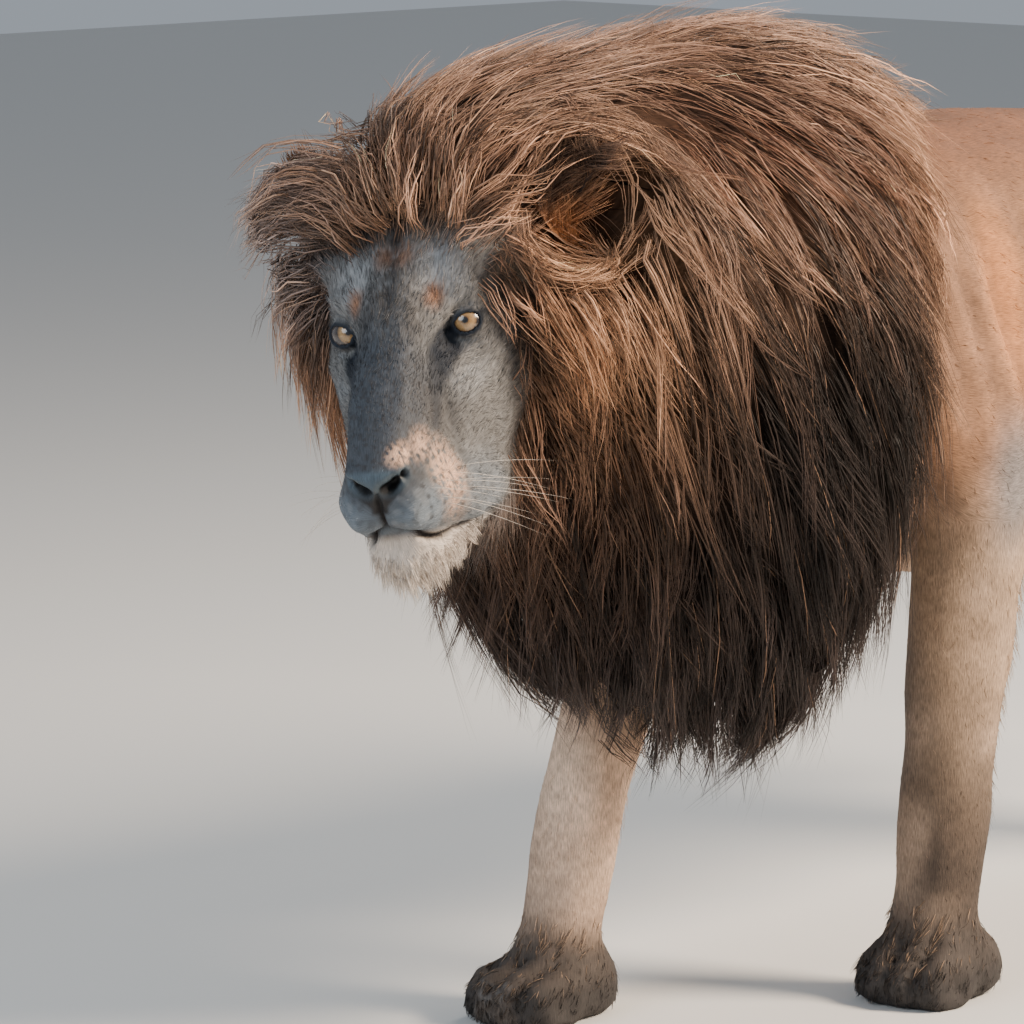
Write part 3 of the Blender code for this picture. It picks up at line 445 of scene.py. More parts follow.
def make_eye(node, side):
    """An eyeball with a clear swell over the iris, whose pupil faces along the gaze."""
    work = bmesh.new()
    bmesh.ops.create_uvsphere(work, u_segments=56, v_segments=48, radius=EYE_RADIUS)
    for vert in work.verts:
        angle = vert.co.angle(Vector((0, 0, 1)), 0)
        vert.co *= 1 + 0.055 * (1 - min(angle / 0.72, 1.0) ** 2) ** 2
    gaze = Vector(unit(turned_from_head(unit(GAZE))))
    turn = Vector((0, 0, 1)).rotation_difference(gaze).to_matrix()
    bmesh.ops.rotate(work, verts=work.verts, cent=(0, 0, 0), matrix=turn)
    bmesh.ops.translate(work, verts=work.verts, vec=middle_of(node))
    mesh = bpy.data.meshes.new(node + "_ball")
    work.to_mesh(mesh)
    work.free()
    offset = points_of(mesh) - np.array(middle_of(node))
    local = offset @ np.array(turn)
    angle = np.arctan2(np.hypot(local[:, 0], local[:, 1]), local[:, 2])
    round_it = unit(local[:, :2] + 1e-6)
    mesh.attributes.new("from_pupil", "FLOAT", "POINT").data.foreach_set("value", angle.astype(np.float32))
    rays = np.column_stack([round_it * 5.0, angle * 2.0]).astype(np.float32)
    mesh.attributes.new("iris_rays", "FLOAT_VECTOR", "POINT").data.foreach_set("vector", rays.ravel())
    mesh.shade_smooth()
    obj = link(node + "_ball", mesh)
    obj.data.materials.append(eye_material())
    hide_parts(node)
    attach(obj, "root")


# ---------------------------------------------------------------- sculpting the body
# Loose folds of skin on the flanks: level from z to z, and how each runs.
FOLDS = [
    ((0.30, -0.355, 0.93), (0.30, -0.330, 0.80), (0.30, -0.305, 0.62)),
    ((0.30, -0.305, 0.95), (0.30, -0.280, 0.80), (0.30, -0.255, 0.62)),
    ((0.30, -0.250, 0.96), (0.30, -0.225, 0.80), (0.30, -0.200, 0.62)),
    ((0.30, -0.180, 0.93), (0.30, -0.120, 0.80), (0.30, -0.075, 0.66)),
    ((0.30, -0.110, 0.95), (0.30, -0.055, 0.82), (0.30, -0.015, 0.66)),
    ((0.30, -0.045, 0.95), (0.30, 0.005, 0.82), (0.30, 0.045, 0.65)),
    ((0.30, 0.020, 0.94), (0.30, 0.065, 0.81), (0.30, 0.100, 0.66)),
    ((0.30, 0.090, 0.92), (0.30, 0.130, 0.80), (0.30, 0.160, 0.66)),
]
FOLD_WIDTH, FOLD_DEPTH = 0.013, 0.0085
# Body strokes: middle, reach, depth along the skin's own way out; less than 0 presses in.
BODY_STROKES = [
    ((0.235, -0.300, 0.560), 0.045, 0.007),  # point of the left elbow
    ((0.200, -0.345, 0.600), 0.035, -0.010),
    ((0.180, -0.190, 0.470), 0.020, -0.006),  # cords of the left forearm
    ((0.215, -0.260, 0.440), 0.018, 0.004),
    ((0.200, -0.225, 0.380), 0.016, -0.004),
    ((0.210, -0.270, 0.340), 0.016, 0.003),
    ((0.200, -0.270, 0.235), 0.030, 0.004),  # wrists
    ((-0.160, -0.600, 0.235), 0.030, 0.004),
    ((-0.080, -0.560, 0.400), 0.022, -0.004),  # cords of the right forearm
    ((-0.080, -0.500, 0.360), 0.018, 0.003),
    ((0.200, 0.560, 0.800), 0.060, -0.007),  # hollow of the flank
    ((-0.200, 0.520, 0.800), 0.060, -0.007),
    ((0.120, 0.620, 0.985), 0.045, 0.006),  # points of the hips
    ((-0.120, 0.600, 0.985), 0.045, 0.006),
    ((0.205, 0.700, 0.700), 0.070, 0.006),  # muscle of the thighs
    ((-0.205, 0.660, 0.700), 0.070, 0.006),
]
PAW_NODES = {
    "left_fore_paw": 4.0,
    "right_fore_paw": 2.0,
    "left_hind_foot": 3.0,
    "right_hind_foot": -3.0,
}


def paw_place(points, node):
    """Across, forward and up on a paw, from the middle of its sole's box."""
    low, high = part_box(node)
    middle = np.array([(low.x + high.x) / 2, low.y, 0.0])
    turn = math.radians(PAW_NODES[node])
    offset = points - middle
    across = offset[:, 0] * math.cos(turn) + offset[:, 1] * math.sin(turn)
    back = -offset[:, 0] * math.sin(turn) + offset[:, 1] * math.cos(turn)
    return across, back, points[:, 2]


def sculpted_body(points, normals):
    side_points = points.copy()
    side_points[:, 0] = 0.30
    push = np.zeros(len(points))
    flank = ease(np.abs(points[:, 0]), 0.10, 0.16) * (points[:, 1] > -0.40)
    for line in FOLDS:
        away, along = line_distance(side_points, line)
        push -= FOLD_DEPTH * np.exp(-((away / FOLD_WIDTH) ** 2)) * flank * np.sin(np.pi * along.clip(0.06, 0.94))
    for middle, reach, depth in BODY_STROKES:
        push += depth * np.exp(-((np.linalg.norm(points - np.array(middle), axis=1) / reach) ** 2))
    push += 0.0016 * ripple(points, 0.11, 3) * ease(points[:, 2], 0.1, 0.2) * (points[:, 1] > -0.70)
    for node in PAW_NODES:
        low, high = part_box(node)
        across, back, up = paw_place(points, node)
        inside = (np.abs(across) < 0.10) & (back > -0.02) & (back < 0.20) & (up < 0.12)
        width = (high.x - low.x) / 2
        spread = width * 0.50
        front = (1 - ease(back, 0.055, 0.105)) * inside
        lanes = np.abs(((across / spread + 2.0) % 1.0) - 0.5) * 2  # 0 mid toe, 1 in the cleft
        cleft = ease(lanes, 0.62, 1.0) * ease(up, 0.0, 0.02) * (1 - ease(up, 0.062, 0.090))
        push += front * (-0.011 * cleft + 0.003 * (1 - lanes))
    return points + normals * push[:, None]


# ---------------------------------------------------------------- colours (linear)
SAND = (0.24, 0.122, 0.066)
BACK = (0.115, 0.045, 0.020)
BELLY = (0.50, 0.36, 0.26)
ORANGE = (0.46, 0.185, 0.065)
LEG = (0.31, 0.215, 0.145)
FOLD_SHADE = (0.080, 0.042, 0.026)
SUNLIT_LEG = (0.72, 0.50, 0.36)
LOW_LEG = (0.056, 0.040, 0.030)
PAW_STREAK = (0.36, 0.235, 0.150)
PAW = (0.046, 0.036, 0.030)
TOE = (0.030, 0.027, 0.026)
BLUE_GREY = (0.13, 0.135, 0.145)
CHEEK = (0.130, 0.127, 0.124)
FOREHEAD = (0.096, 0.092, 0.090)
FACE_PALE = (0.24, 0.245, 0.25)
DARK_LINE = (0.032, 0.028, 0.027)
BRIDGE_GREY = (0.050, 0.056, 0.066)
PAD_PALE = (0.145, 0.175, 0.205)
SUNLIT_PAD_TAN = (0.64, 0.40, 0.27)
CHIN_WHITE = (0.52, 0.45, 0.39)
RUFOUS = (0.24, 0.105, 0.048)
EYE_RIM = (0.009, 0.013, 0.021)
NOSE_GREY = (0.056, 0.080, 0.100)
NOSE_DARK = (0.012, 0.011, 0.012)
LIP_DARK = (0.016, 0.012, 0.012)
CHEEK_BAND_AND_MANE_SHADE = (0.050, 0.036, 0.028)
EAR_DARK = (0.030, 0.022, 0.019)
NOSTRIL_SHADE = (0.004, 0.004, 0.005)
TEAR = [(0.046, -0.022, -0.010), (0.038, -0.046, -0.028), (0.034, -0.070, -0.046), (0.037, -0.094, -0.066)]


def leather(points):
    """1 on the nose's bare leather, 0 on the hair round it."""
    local = to_head(points)
    x, y, z = np.abs(local[:, 0]), local[:, 1], local[:, 2]
    half = 0.035 - 0.027 * ease(-z, 0.090, 0.114)
    wide = 1 - ease(x, half - 0.002, half + 0.003)
    tall = ease(z, -0.122, -0.117) * (1 - ease(z, -0.076 - 0.1 * x, -0.069 - 0.1 * x))
    return wide * tall * (1 - ease(y, -0.174, -0.160))


def whisker_spots(left):
    """Rows of dark spots on the pads, where the whiskers grow."""
    x, y, z = left.T
    found = np.zeros(len(left))
    for row in range(4):
        for column in range(5):
            at_y, at_z = -0.164 + 0.0165 * column, -0.102 - 0.0115 * row - 0.0025 * column
            away = np.hypot(y - at_y, z - at_z)
            found = np.maximum(found, (1 - ease(away, 0.0012, 0.0034)) * ease(x, 0.018, 0.028) * (y < -0.07))
    return found


def face_colour(points, marks):
    local = to_head(points)
    left = folded(local)
    x, y, z = left.T
    colour = np.tile(np.array(CHEEK), (len(points), 1))
    colour = blend(colour, FOREHEAD, ease(z, 0.010, 0.050) * (1 - ease(x, 0.08, 0.12)))
    colour = blend(colour, BRIDGE_GREY, (1 - ease(x, 0.034, 0.054)) * (1 - ease(y, -0.08, -0.01)))
    colour = blend(colour, FACE_PALE, 0.75 * spot(left, (0.042, 0.006, 0.066), (0.018, 0.034, 0.026), 0.7))
    colour = blend(colour, DARK_LINE, 0.65 * (1 - ease(x, 0.002, 0.014)) * ease(z, 0.016, 0.050))
    colour = blend(colour, DARK_LINE, 0.55 * spot(left, (0.022, -0.030, 0.022), (0.010, 0.03, 0.020), 0.8))
    colour = blend(colour, FACE_PALE, 0.6 * spot(left, (0.066, -0.036, -0.046), (0.024, 0.03, 0.014), 0.7))
    colour = blend(colour, FACE_PALE, 0.4 * spot(left, (0.066, 0.018, 0.040), (0.018, 0.025, 0.018), 0.8))
    colour = blend(colour, RUFOUS, 0.85 * spot(left, (0.042, -0.012, 0.040), (0.008, 0.014, 0.012), 0.8))
    colour = blend(colour, RUFOUS, 0.45 * spot(left, (0.010, 0.012, 0.080), (0.010, 0.014, 0.014), 0.8))
    band = ease(y, 0.000, 0.050) * (1 - ease(z, 0.02, 0.07)) * ease(x, 0.05, 0.08)
    colour = blend(colour, CHEEK_BAND_AND_MANE_SHADE, 0.85 * band)
    colour = blend(colour, DARK_LINE, 0.5 * spot(left, (0.048, -0.080, -0.052), (0.022, 0.030, 0.030), 0.7))
    pad = spot(left, (0.030, -0.155, -0.130), (0.034, 0.036, 0.026), 0.5)
    colour = blend(colour, PAD_PALE, pad)
    colour = blend(colour, PAD_PALE, 0.6 * spot(left, (0.066, -0.070, -0.150), (0.030, 0.050, 0.034), 0.6))
    # Painted sunlight: tan patches of grazing light on the left whisker pad and beside the nose, on that side only.
    sunlit_patch = spot(local, (0.052, -0.118, -0.112), (0.015, 0.026, 0.036), 0.6)
    sunlit_patch = np.maximum(sunlit_patch, spot(local, (0.026, -0.166, -0.066), (0.012, 0.018, 0.010), 0.6))
    sunlit_patch = np.maximum(sunlit_patch, 0.8 * spot(local, (0.045, -0.140, -0.066), (0.012, 0.022, 0.016), 0.6))
    colour = blend(colour, SUNLIT_PAD_TAN, 0.9 * sunlit_patch * ease(ripple(local, 0.007, 11), -0.9, 0.0))
    muzzle = (1 - ease(y, -0.09, 0.00)) * ease(z, -0.105, -0.085)
    mottle = ease(ripple(local, 0.0075, 5), 0.10, 0.80) * muzzle
    colour = blend(colour, DARK_LINE, 0.60 * mottle)
    specks = ease(ripple(local, 0.014, 6), 0.2, 0.9) * (1 - muzzle)
    colour = blend(colour, DARK_LINE, 0.30 * specks)
    colour = blend(colour, FACE_PALE, 0.22 * ease(ripple(local, 0.016, 7), 0.2, 0.9) * (1 - muzzle))
    low = ease(-z - 0.28 * (y + 0.17), 0.146, 0.160)
    colour = blend(colour, CHIN_WHITE, low * (1 - ease(y, -0.06, 0.00)))
    colour = blend(colour, LIP_DARK, 0.6 * whisker_spots(left))
    away, along = line_distance(left, TEAR)
    tear = 1 - ease(away, 0.006 + 0.008 * (1 - along), 0.015 + 0.008 * (1 - along))
    colour = blend(colour, EYE_RIM, 0.97 * tear * (1 - 0.35 * along))
    colour = blend(colour, LIP_DARK, np.maximum(marks["mouth"], marks["cleft"]))
    for side in (1, -1):
        edge, u, v, w = lid_edge(points, side)
        rim = (1 - ease(edge, 0.0030, 0.0075)) * (w > -0.01)
        colour = blend(colour, EYE_RIM, rim)
        corner = (1 - ease(np.hypot((u + 0.019) / 1.3, v + 0.004), 0.005, 0.011)) * (w > -0.015)
        colour = blend(colour, EYE_RIM, corner)
        outer = (1 - ease(np.hypot((u - 0.018) / 1.6, v - 0.002), 0.003, 0.008)) * (w > -0.015)
        colour = blend(colour, EYE_RIM, 0.8 * outer)
    bare = leather(points)
    nose = blend(np.tile(np.array(NOSE_GREY), (len(points), 1)), NOSE_DARK, 1 - ease(z, -0.108, -0.086))
    colour = colour + (nose - colour) * bare[:, None]
    # Painted shade: the nostrils' shallow hollows are filled with near black.
    return blend(colour, NOSTRIL_SHADE, marks["nostril"])


def body_colour(points):
    x, y, z = points.T
    colour = np.tile(np.array(SAND), (len(points), 1))
    colour = blend(colour, BACK, 0.9 * ease(z, 0.86, 1.00))
    colour = blend(colour, BELLY, 0.7 * (1 - ease(z, 0.50, 0.60)) * (np.abs(x) < 0.10))
    colour = blend(colour, ORANGE, 0.85 * spot(points, (0.21, -0.215, 0.82), (0.09, 0.035, 0.10), 0.6))
    # Painted shade: the flank is darkened along the creases of its folds.
    side_points = points.copy()
    side_points[:, 0] = 0.30
    for line in FOLDS:
        away, along = line_distance(side_points, line)
        crease_shade = np.exp(-((away / FOLD_WIDTH) ** 2)) * ease(np.abs(x), 0.10, 0.16) * (y > -0.42)
        colour = blend(colour, FOLD_SHADE, 0.45 * crease_shade * np.sin(np.pi * along.clip(0.03, 0.97)))
    leg = 1 - ease(z, 0.50, 0.66)
    colour = blend(colour, LEG, leg * (1 - 0.6 * (1 - ease(np.abs(x), 0.03, 0.09))))
    colour = blend(colour, LOW_LEG, 1 - ease(z, 0.14, 0.42))
    # Painted sunlight: the right foreleg is made paler, as if lit, where the key light leaves it in shade.
    colour = blend(colour, SUNLIT_LEG, 0.9 * spot(points, (-0.10, -0.58, 0.38), (0.10, 0.15, 0.32), 0.5))
    patches = ease(ripple(points, 0.14, 21), 0.1, 0.9) * (1 - ease(z, 0.45, 0.62))
    colour = blend(colour, BELLY, 0.40 * patches)
    colour = blend(colour, BLUE_GREY, 0.8 * spot(points, (0.22, -0.235, 0.60), (0.08, 0.045, 0.07), 0.7))
    colour = blend(colour, BLUE_GREY, 0.7 * spot(points, (-0.20, -0.38, 0.58), (0.08, 0.04, 0.06), 0.7))
    colour = blend(colour, BLUE_GREY, 0.5 * spot(points, (0.10, -0.30, 0.36), (0.05, 0.05, 0.10), 0.7))
    colour = blend(colour, PAW, 1 - ease(z, 0.065, 0.130))
    colour = blend(colour, TOE, 0.85 * (1 - ease(z, 0.025, 0.060)))
    colour = blend(colour, SAND, ease(y, 0.935, 0.97) * 0.5)
    return colour * (1 + 0.12 * ripple(points, 0.09, 31))[:, None]


def coat_colour(points, marks):
    """The coat's colour all over the skin; the tufts take theirs from it."""
    colour = body_colour(points)
    head = (1 - ease(to_head(points)[:, 1], 0.10, 0.17)) * (points[:, 1] < -0.74)
    near = head > 0
    face = face_colour(points[near], {name: mark[near] for name, mark in marks.items()})
    colour[near] += (face - colour[near]) * head[near][:, None]
    # Painted shade: the neck's skin under the mane is darkened, in the cheek band's colour.
    shade_under_mane = spot(points, (0.0, -0.62, 0.80), (0.26, 0.34, 0.34), 0.25)
    colour = blend(colour, CHEEK_BAND_AND_MANE_SHADE, shade_under_mane * (1 - head))
    for node in EARS:
        inside = spot(points, middle_of(node), (0.055, 0.05, 0.07), 0.3)
        colour = blend(colour, EAR_DARK, 0.85 * inside)
        base = np.array(middle_of(node)) - np.array([0, 0, 0.048])
        colour = blend(colour, ORANGE, 0.75 * spot(points, base, (0.055, 0.05, 0.030), 0.7))
    return np.clip(colour, 0.003, 0.9)


# ---------------------------------------------------------------- the lie of the coat
def skin_lie(points):
    """Which way the short coat lies: away from the nose on the head, back on the trunk, down the legs."""
    local = to_head(points)
    from_nose = turned_from_head(unit(local - np.array([0.0, -0.215, -0.105])))
    back = unit(np.column_stack([0 * points[:, 0], np.ones(len(points)), -0.45 * np.ones(len(points))]))
    down = unit(np.column_stack([0 * points[:, 0], 0.12 * np.ones(len(points)), -np.ones(len(points))]))
    leg = (1 - ease(points[:, 2], 0.48, 0.70))[:, None]
    lie = back * (1 - leg) + down * leg
    tail = ease(points[:, 1], 0.92, 0.96)[:, None]
    lie = lie * (1 - tail) + down * tail
    paw = (1 - ease(points[:, 2], 0.06, 0.11))[:, None]
    lie = lie * (1 - paw) + np.array([0.0, -0.8, -0.6]) * paw
    head = ((1 - ease(local[:, 1], 0.12, 0.20)) * (points[:, 1] < -0.74))[:, None]
    return unit(lie * (1 - head) + from_nose * head)


# ---------------------------------------------------------------- unwrap of the skin's own shape
LEG_CHARTS = (
    ("left_fore_forearm", "left_fore_paw"),
    ("right_fore_forearm", "right_fore_paw"),
    ("left_hind_shank", "left_hind_foot"),
    ("right_hind_shank", "right_hind_foot"),
)
CHART = 0.46  # side of the trunk's and the head's charts


def chart_of(points):
    """0 trunk, 1 head, 2 to 5 the legs, 6 the tail."""
    x, y, z = points.T
    chart = np.zeros(len(points), int)
    chart[(y < -0.79) & (to_head(points)[:, 1] < 0.22)] = 1
    low = z < 0.50
    chart[low & (y < 0.20) & (x > 0)] = 2
    chart[low & (y < 0.20) & (x <= 0)] = 3
    chart[low & (y >= 0.20) & (x > 0)] = 4
    chart[low & (y >= 0.20) & (x <= 0)] = 5
    chart[(y > 0.96)] = 6
    return chart


def unwrap(points, chart):
    """Where points of the skin lie on its unwrap: tubes cut open, and the head seen from inside out."""
    x, y, z = points.T
    u = np.arctan2(x, z - 0.77) / (2 * math.pi) + 0.5
    v = (y + 1.25) / 2.5
    out = np.column_stack([0.02 + CHART * u, 0.02 + CHART * v])
    local = to_head(points) - np.array([0.0, 0.03, -0.05])
    away = np.arctan2(np.hypot(local[:, 0], local[:, 2]), -local[:, 1]) / math.pi
    round_it = np.arctan2(local[:, 2], local[:, 0])
    head = np.column_stack([away * np.cos(round_it), away * np.sin(round_it)]) * CHART / 2
    out = np.where((chart == 1)[:, None], head + np.array([0.75, 0.25]), out)
    for i, (upper, lower) in enumerate(LEG_CHARTS):
        top, bottom = middle_of(upper), middle_of(lower)
        t = (z - bottom.z) / (top.z - bottom.z)
        centre_x, centre_y = bottom.x + t * (top.x - bottom.x), bottom.y + t * (top.y - bottom.y)
        turn = np.arctan2(x - centre_x, y - centre_y) / (2 * math.pi) + 0.5
        leg = np.column_stack([0.01 + 0.205 * i + 0.19 * turn, 0.52 + 0.46 * np.clip(z, 0, 0.56) / 0.56])
        out = np.where((chart == 2 + i)[:, None], leg, out)
    tail_turn = np.arctan2(x - 0.01, y - 1.05) / (2 * math.pi) + 0.5
    tail = np.column_stack([0.84 + 0.14 * tail_turn, 0.52 + 0.46 * np.clip(z, 0, 1)])
    return np.where((chart == 6)[:, None], tail, out)


def lay_out(mesh):
    """Gives the skin its unwrap, and a map in metres that runs along the lie of the coat."""
    points = points_of(mesh)
    loops = np.empty(len(mesh.loops), np.int32)
    mesh.loops.foreach_get("vertex_index", loops)
    corners = points[loops]
    triangles = loops.reshape(-1, 3)
    middles = points[triangles].mean(1)
    chart = np.repeat(chart_of(middles), 3)
    uv = unwrap(corners, chart)
    spans = uv.reshape(-1, 3, 2)
    for i in range(3):
        wrap = np.array([CHART, 0.19, 0.14])[i]
        hit = np.isin(chart.reshape(-1, 3)[:, 0], ((0,), (2, 3, 4, 5), (6,))[i])
        wide = hit & (np.ptp(spans[:, :, 0], axis=1) > wrap / 2)
        low = spans[:, :, 0] < spans[:, :, 0].mean(1, keepdims=True)
        spans[:, :, 0] += np.where(wide[:, None] & low, wrap, 0.0)
    mesh.uv_layers.new(name="OFBake").data.foreach_set("uv", spans.astype(np.float32).ravel())
    local = to_head(middles)
    head = np.repeat((chart_of(middles) == 1) & (local[:, 1] < 0.22), 3)
    from_nose = to_head(corners) - np.array([0.0, -0.215, -0.105])
    turn = np.arctan2(from_nose[:, 0], from_nose[:, 2] + 0.02)
    along = np.linalg.norm(from_nose, axis=1)
    head_map = np.column_stack([turn * 0.10, along])
    x, y, z = corners.T
    ring = np.arctan2(x, z - 0.77) * 0.23
    trunk_map = np.column_stack([ring, y * 0.93 - z * 0.2])
    leg_map = np.column_stack([(x + y) * 0.75, -z])
    low_part = np.repeat(middles[:, 2] < 0.56, 3)
    lie_map = np.where(head[:, None], head_map, np.where(low_part[:, None], leg_map, trunk_map))
    mesh.uv_layers.new(name="Lie").data.foreach_set("uv", lie_map.astype(np.float32).ravel())


# ---------------------------------------------------------------- materials
def node_of(tree, kind, **sockets):
    node = tree.nodes.new(kind)
    for name, value in sockets.items():
        node.inputs[name].default_value = value
    return node


def coat_material(name, tint, streaks, roughness, shine, wet=None):
    """Coat: colour from the tint attribute, broken up along the streaks of a map."""
    material = bpy.data.materials.new(name)
    material.use_nodes = True
    tree = material.node_tree
    shader = tree.nodes["Principled BSDF"]
    link_up = tree.links.new
    colour = tree.nodes.new("ShaderNodeAttribute")
    colour.attribute_name = tint
    where = tree.nodes.new("ShaderNodeUVMap")
    where.uv_map = "Lie"
    place = tree.nodes.new("ShaderNodeMapping")
    place.inputs["Scale"].default_value = (streaks[0], streaks[1], 1)
    link_up(where.outputs[0], place.inputs["Vector"])
    fine = node_of(tree, "ShaderNodeTexNoise", Scale=1.0, Detail=3.0, Roughness=0.6)
    link_up(place.outputs[0], fine.inputs["Vector"])
    coords = tree.nodes.new("ShaderNodeTexCoord")
    broad = node_of(tree, "ShaderNodeTexNoise", Scale=70.0, Detail=4.0, Roughness=0.6)
    link_up(coords.outputs["Object"], broad.inputs["Vector"])
    spread = node_of(tree, "ShaderNodeMapRange", **{"From Min": 0.3, "From Max": 0.7, "To Min": 0.55, "To Max": 1.35})
    link_up(fine.outputs["Fac"], spread.inputs["Value"])
    patch = node_of(tree, "ShaderNodeMapRange", **{"From Min": 0.3, "From Max": 0.7, "To Min": 0.85, "To Max": 1.15})
    link_up(broad.outputs["Fac"], patch.inputs["Value"])
    both = tree.nodes.new("ShaderNodeMath")
    both.operation = "MULTIPLY"
    link_up(spread.outputs[0], both.inputs[0])
    link_up(patch.outputs[0], both.inputs[1])
    shade = tree.nodes.new("ShaderNodeVectorMath")
    shade.operation = "SCALE"
    link_up(colour.outputs["Color"], shade.inputs[0])
    link_up(both.outputs[0], shade.inputs["Scale"])
    link_up(shade.outputs[0], shader.inputs["Base Color"])
    bump = node_of(tree, "ShaderNodeBump", Strength=0.55, Distance=0.0012)
    link_up(fine.outputs["Fac"], bump.inputs["Height"])
    link_up(bump.outputs[0], shader.inputs["Normal"])
    shader.inputs["Roughness"].default_value = roughness
    shader.inputs["Specular IOR Level"].default_value = shine
    if wet:
        gloss = tree.nodes.new("ShaderNodeAttribute")
        gloss.attribute_name = wet
        rough = node_of(tree, "ShaderNodeMapRange", **{"To Min": roughness, "To Max": 0.42})
        link_up(gloss.outputs["Fac"], rough.inputs["Value"])
        link_up(rough.outputs[0], shader.inputs["Roughness"])
    return material


def hair_material(name, roughness=0.5):
    """Hair: colour from the tint attribute, with fine variation in space."""
    material = bpy.data.materials.new(name)
    material.use_nodes = True
    tree = material.node_tree
    shader = tree.nodes["Principled BSDF"]
    colour = tree.nodes.new("ShaderNodeAttribute")
    colour.attribute_name = "tint"
    coords = tree.nodes.new("ShaderNodeTexCoord")
    noise = node_of(tree, "ShaderNodeTexNoise", Scale=240.0, Detail=2.0)
    tree.links.new(coords.outputs["Object"], noise.inputs["Vector"])
    spread = node_of(tree, "ShaderNodeMapRange", **{"From Min": 0.3, "From Max": 0.7, "To Min": 0.8, "To Max": 1.2})
    tree.links.new(noise.outputs["Fac"], spread.inputs["Value"])
    shade = tree.nodes.new("ShaderNodeVectorMath")
    shade.operation = "SCALE"
    tree.links.new(colour.outputs["Color"], shade.inputs[0])
    tree.links.new(spread.outputs[0], shade.inputs["Scale"])
    tree.links.new(shade.outputs[0], shader.inputs["Base Color"])
    shader.inputs["Roughness"].default_value = roughness
    shader.inputs["Specular IOR Level"].default_value = 0.25
    return material


def eye_material():
    found = bpy.data.materials.get("amber_eye")
    if found:
        return found
    material = bpy.data.materials.new("amber_eye")
    material.use_nodes = True
    tree = material.node_tree
    shader = tree.nodes["Principled BSDF"]
    angle = tree.nodes.new("ShaderNodeAttribute")
    angle.attribute_name = "from_pupil"
    rays = tree.nodes.new("ShaderNodeAttribute")
    rays.attribute_name = "iris_rays"
    noise = node_of(tree, "ShaderNodeTexNoise", Scale=2.4, Detail=5.0, Roughness=0.7)
    tree.links.new(rays.outputs["Vector"], noise.inputs["Vector"])
    ramp = tree.nodes.new("ShaderNodeValToRGB")
    stops = [
        (0.000, (0.004, 0.004, 0.005)),
        (0.135, (0.004, 0.004, 0.005)),
        (0.155, (0.085, 0.045, 0.018)),
        (0.240, (0.26, 0.145, 0.055)),
        (0.430, (0.34, 0.205, 0.085)),
        (0.580, (0.17, 0.095, 0.040)),
        (0.655, (0.012, 0.010, 0.010)),
        (0.760, (0.045, 0.034, 0.030)),
        (1.000, (0.08, 0.065, 0.058)),
    ]
    elements = ramp.color_ramp.elements
    while len(elements) < len(stops):
        elements.new(0.5)
    for element, (position, colour) in zip(elements, stops):
        element.position = position
        element.color = (*colour, 1.0)
    tree.links.new(angle.outputs["Fac"], ramp.inputs["Fac"])
    spread = node_of(tree, "ShaderNodeMapRange", **{"From Min": 0.3, "From Max": 0.7, "To Min": 0.65, "To Max": 1.3})
    tree.links.new(noise.outputs["Fac"], spread.inputs["Value"])
    shade = tree.nodes.new("ShaderNodeVectorMath")
    shade.operation = "SCALE"
    tree.links.new(ramp.outputs["Color"], shade.inputs[0])
    tree.links.new(spread.outputs[0], shade.inputs["Scale"])
    tree.links.new(shade.outputs[0], shader.inputs["Base Color"])
    shader.inputs["Roughness"].default_value = 0.25
    shader.inputs["Coat Weight"].default_value = 1.0
    shader.inputs["Coat Roughness"].default_value = 0.03
    return material


# ---------------------------------------------------------------- tufts and locks
TUFT_PATCH = 0.003
PIECE_TRIANGLES = 190000


def solid_tufts(name, paths, normals, widths, tints, spots, material, nodes=(), flat=0.55):
    """Closed three-sided tufts along paths (tuft, point, xyz), in pieces of a bearable size."""
    count, steps, _ = paths.shape
    each = (steps - 2) * 6 + 4
    most = PIECE_TRIANGLES // each
    pieces = max(1, math.ceil(count / most))
    made = []
    for i in range(pieces):
        part = slice(i, None, pieces)
        label = name if pieces == 1 else f"{name}_{i + 1}"
        made.append(tuft_piece(label, paths[part], normals[part], widths[part], tints[part], spots[part], flat))
        made[-1].data.materials.append(material)
        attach(made[-1], "root")
        if nodes:
            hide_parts(*nodes)
    return made


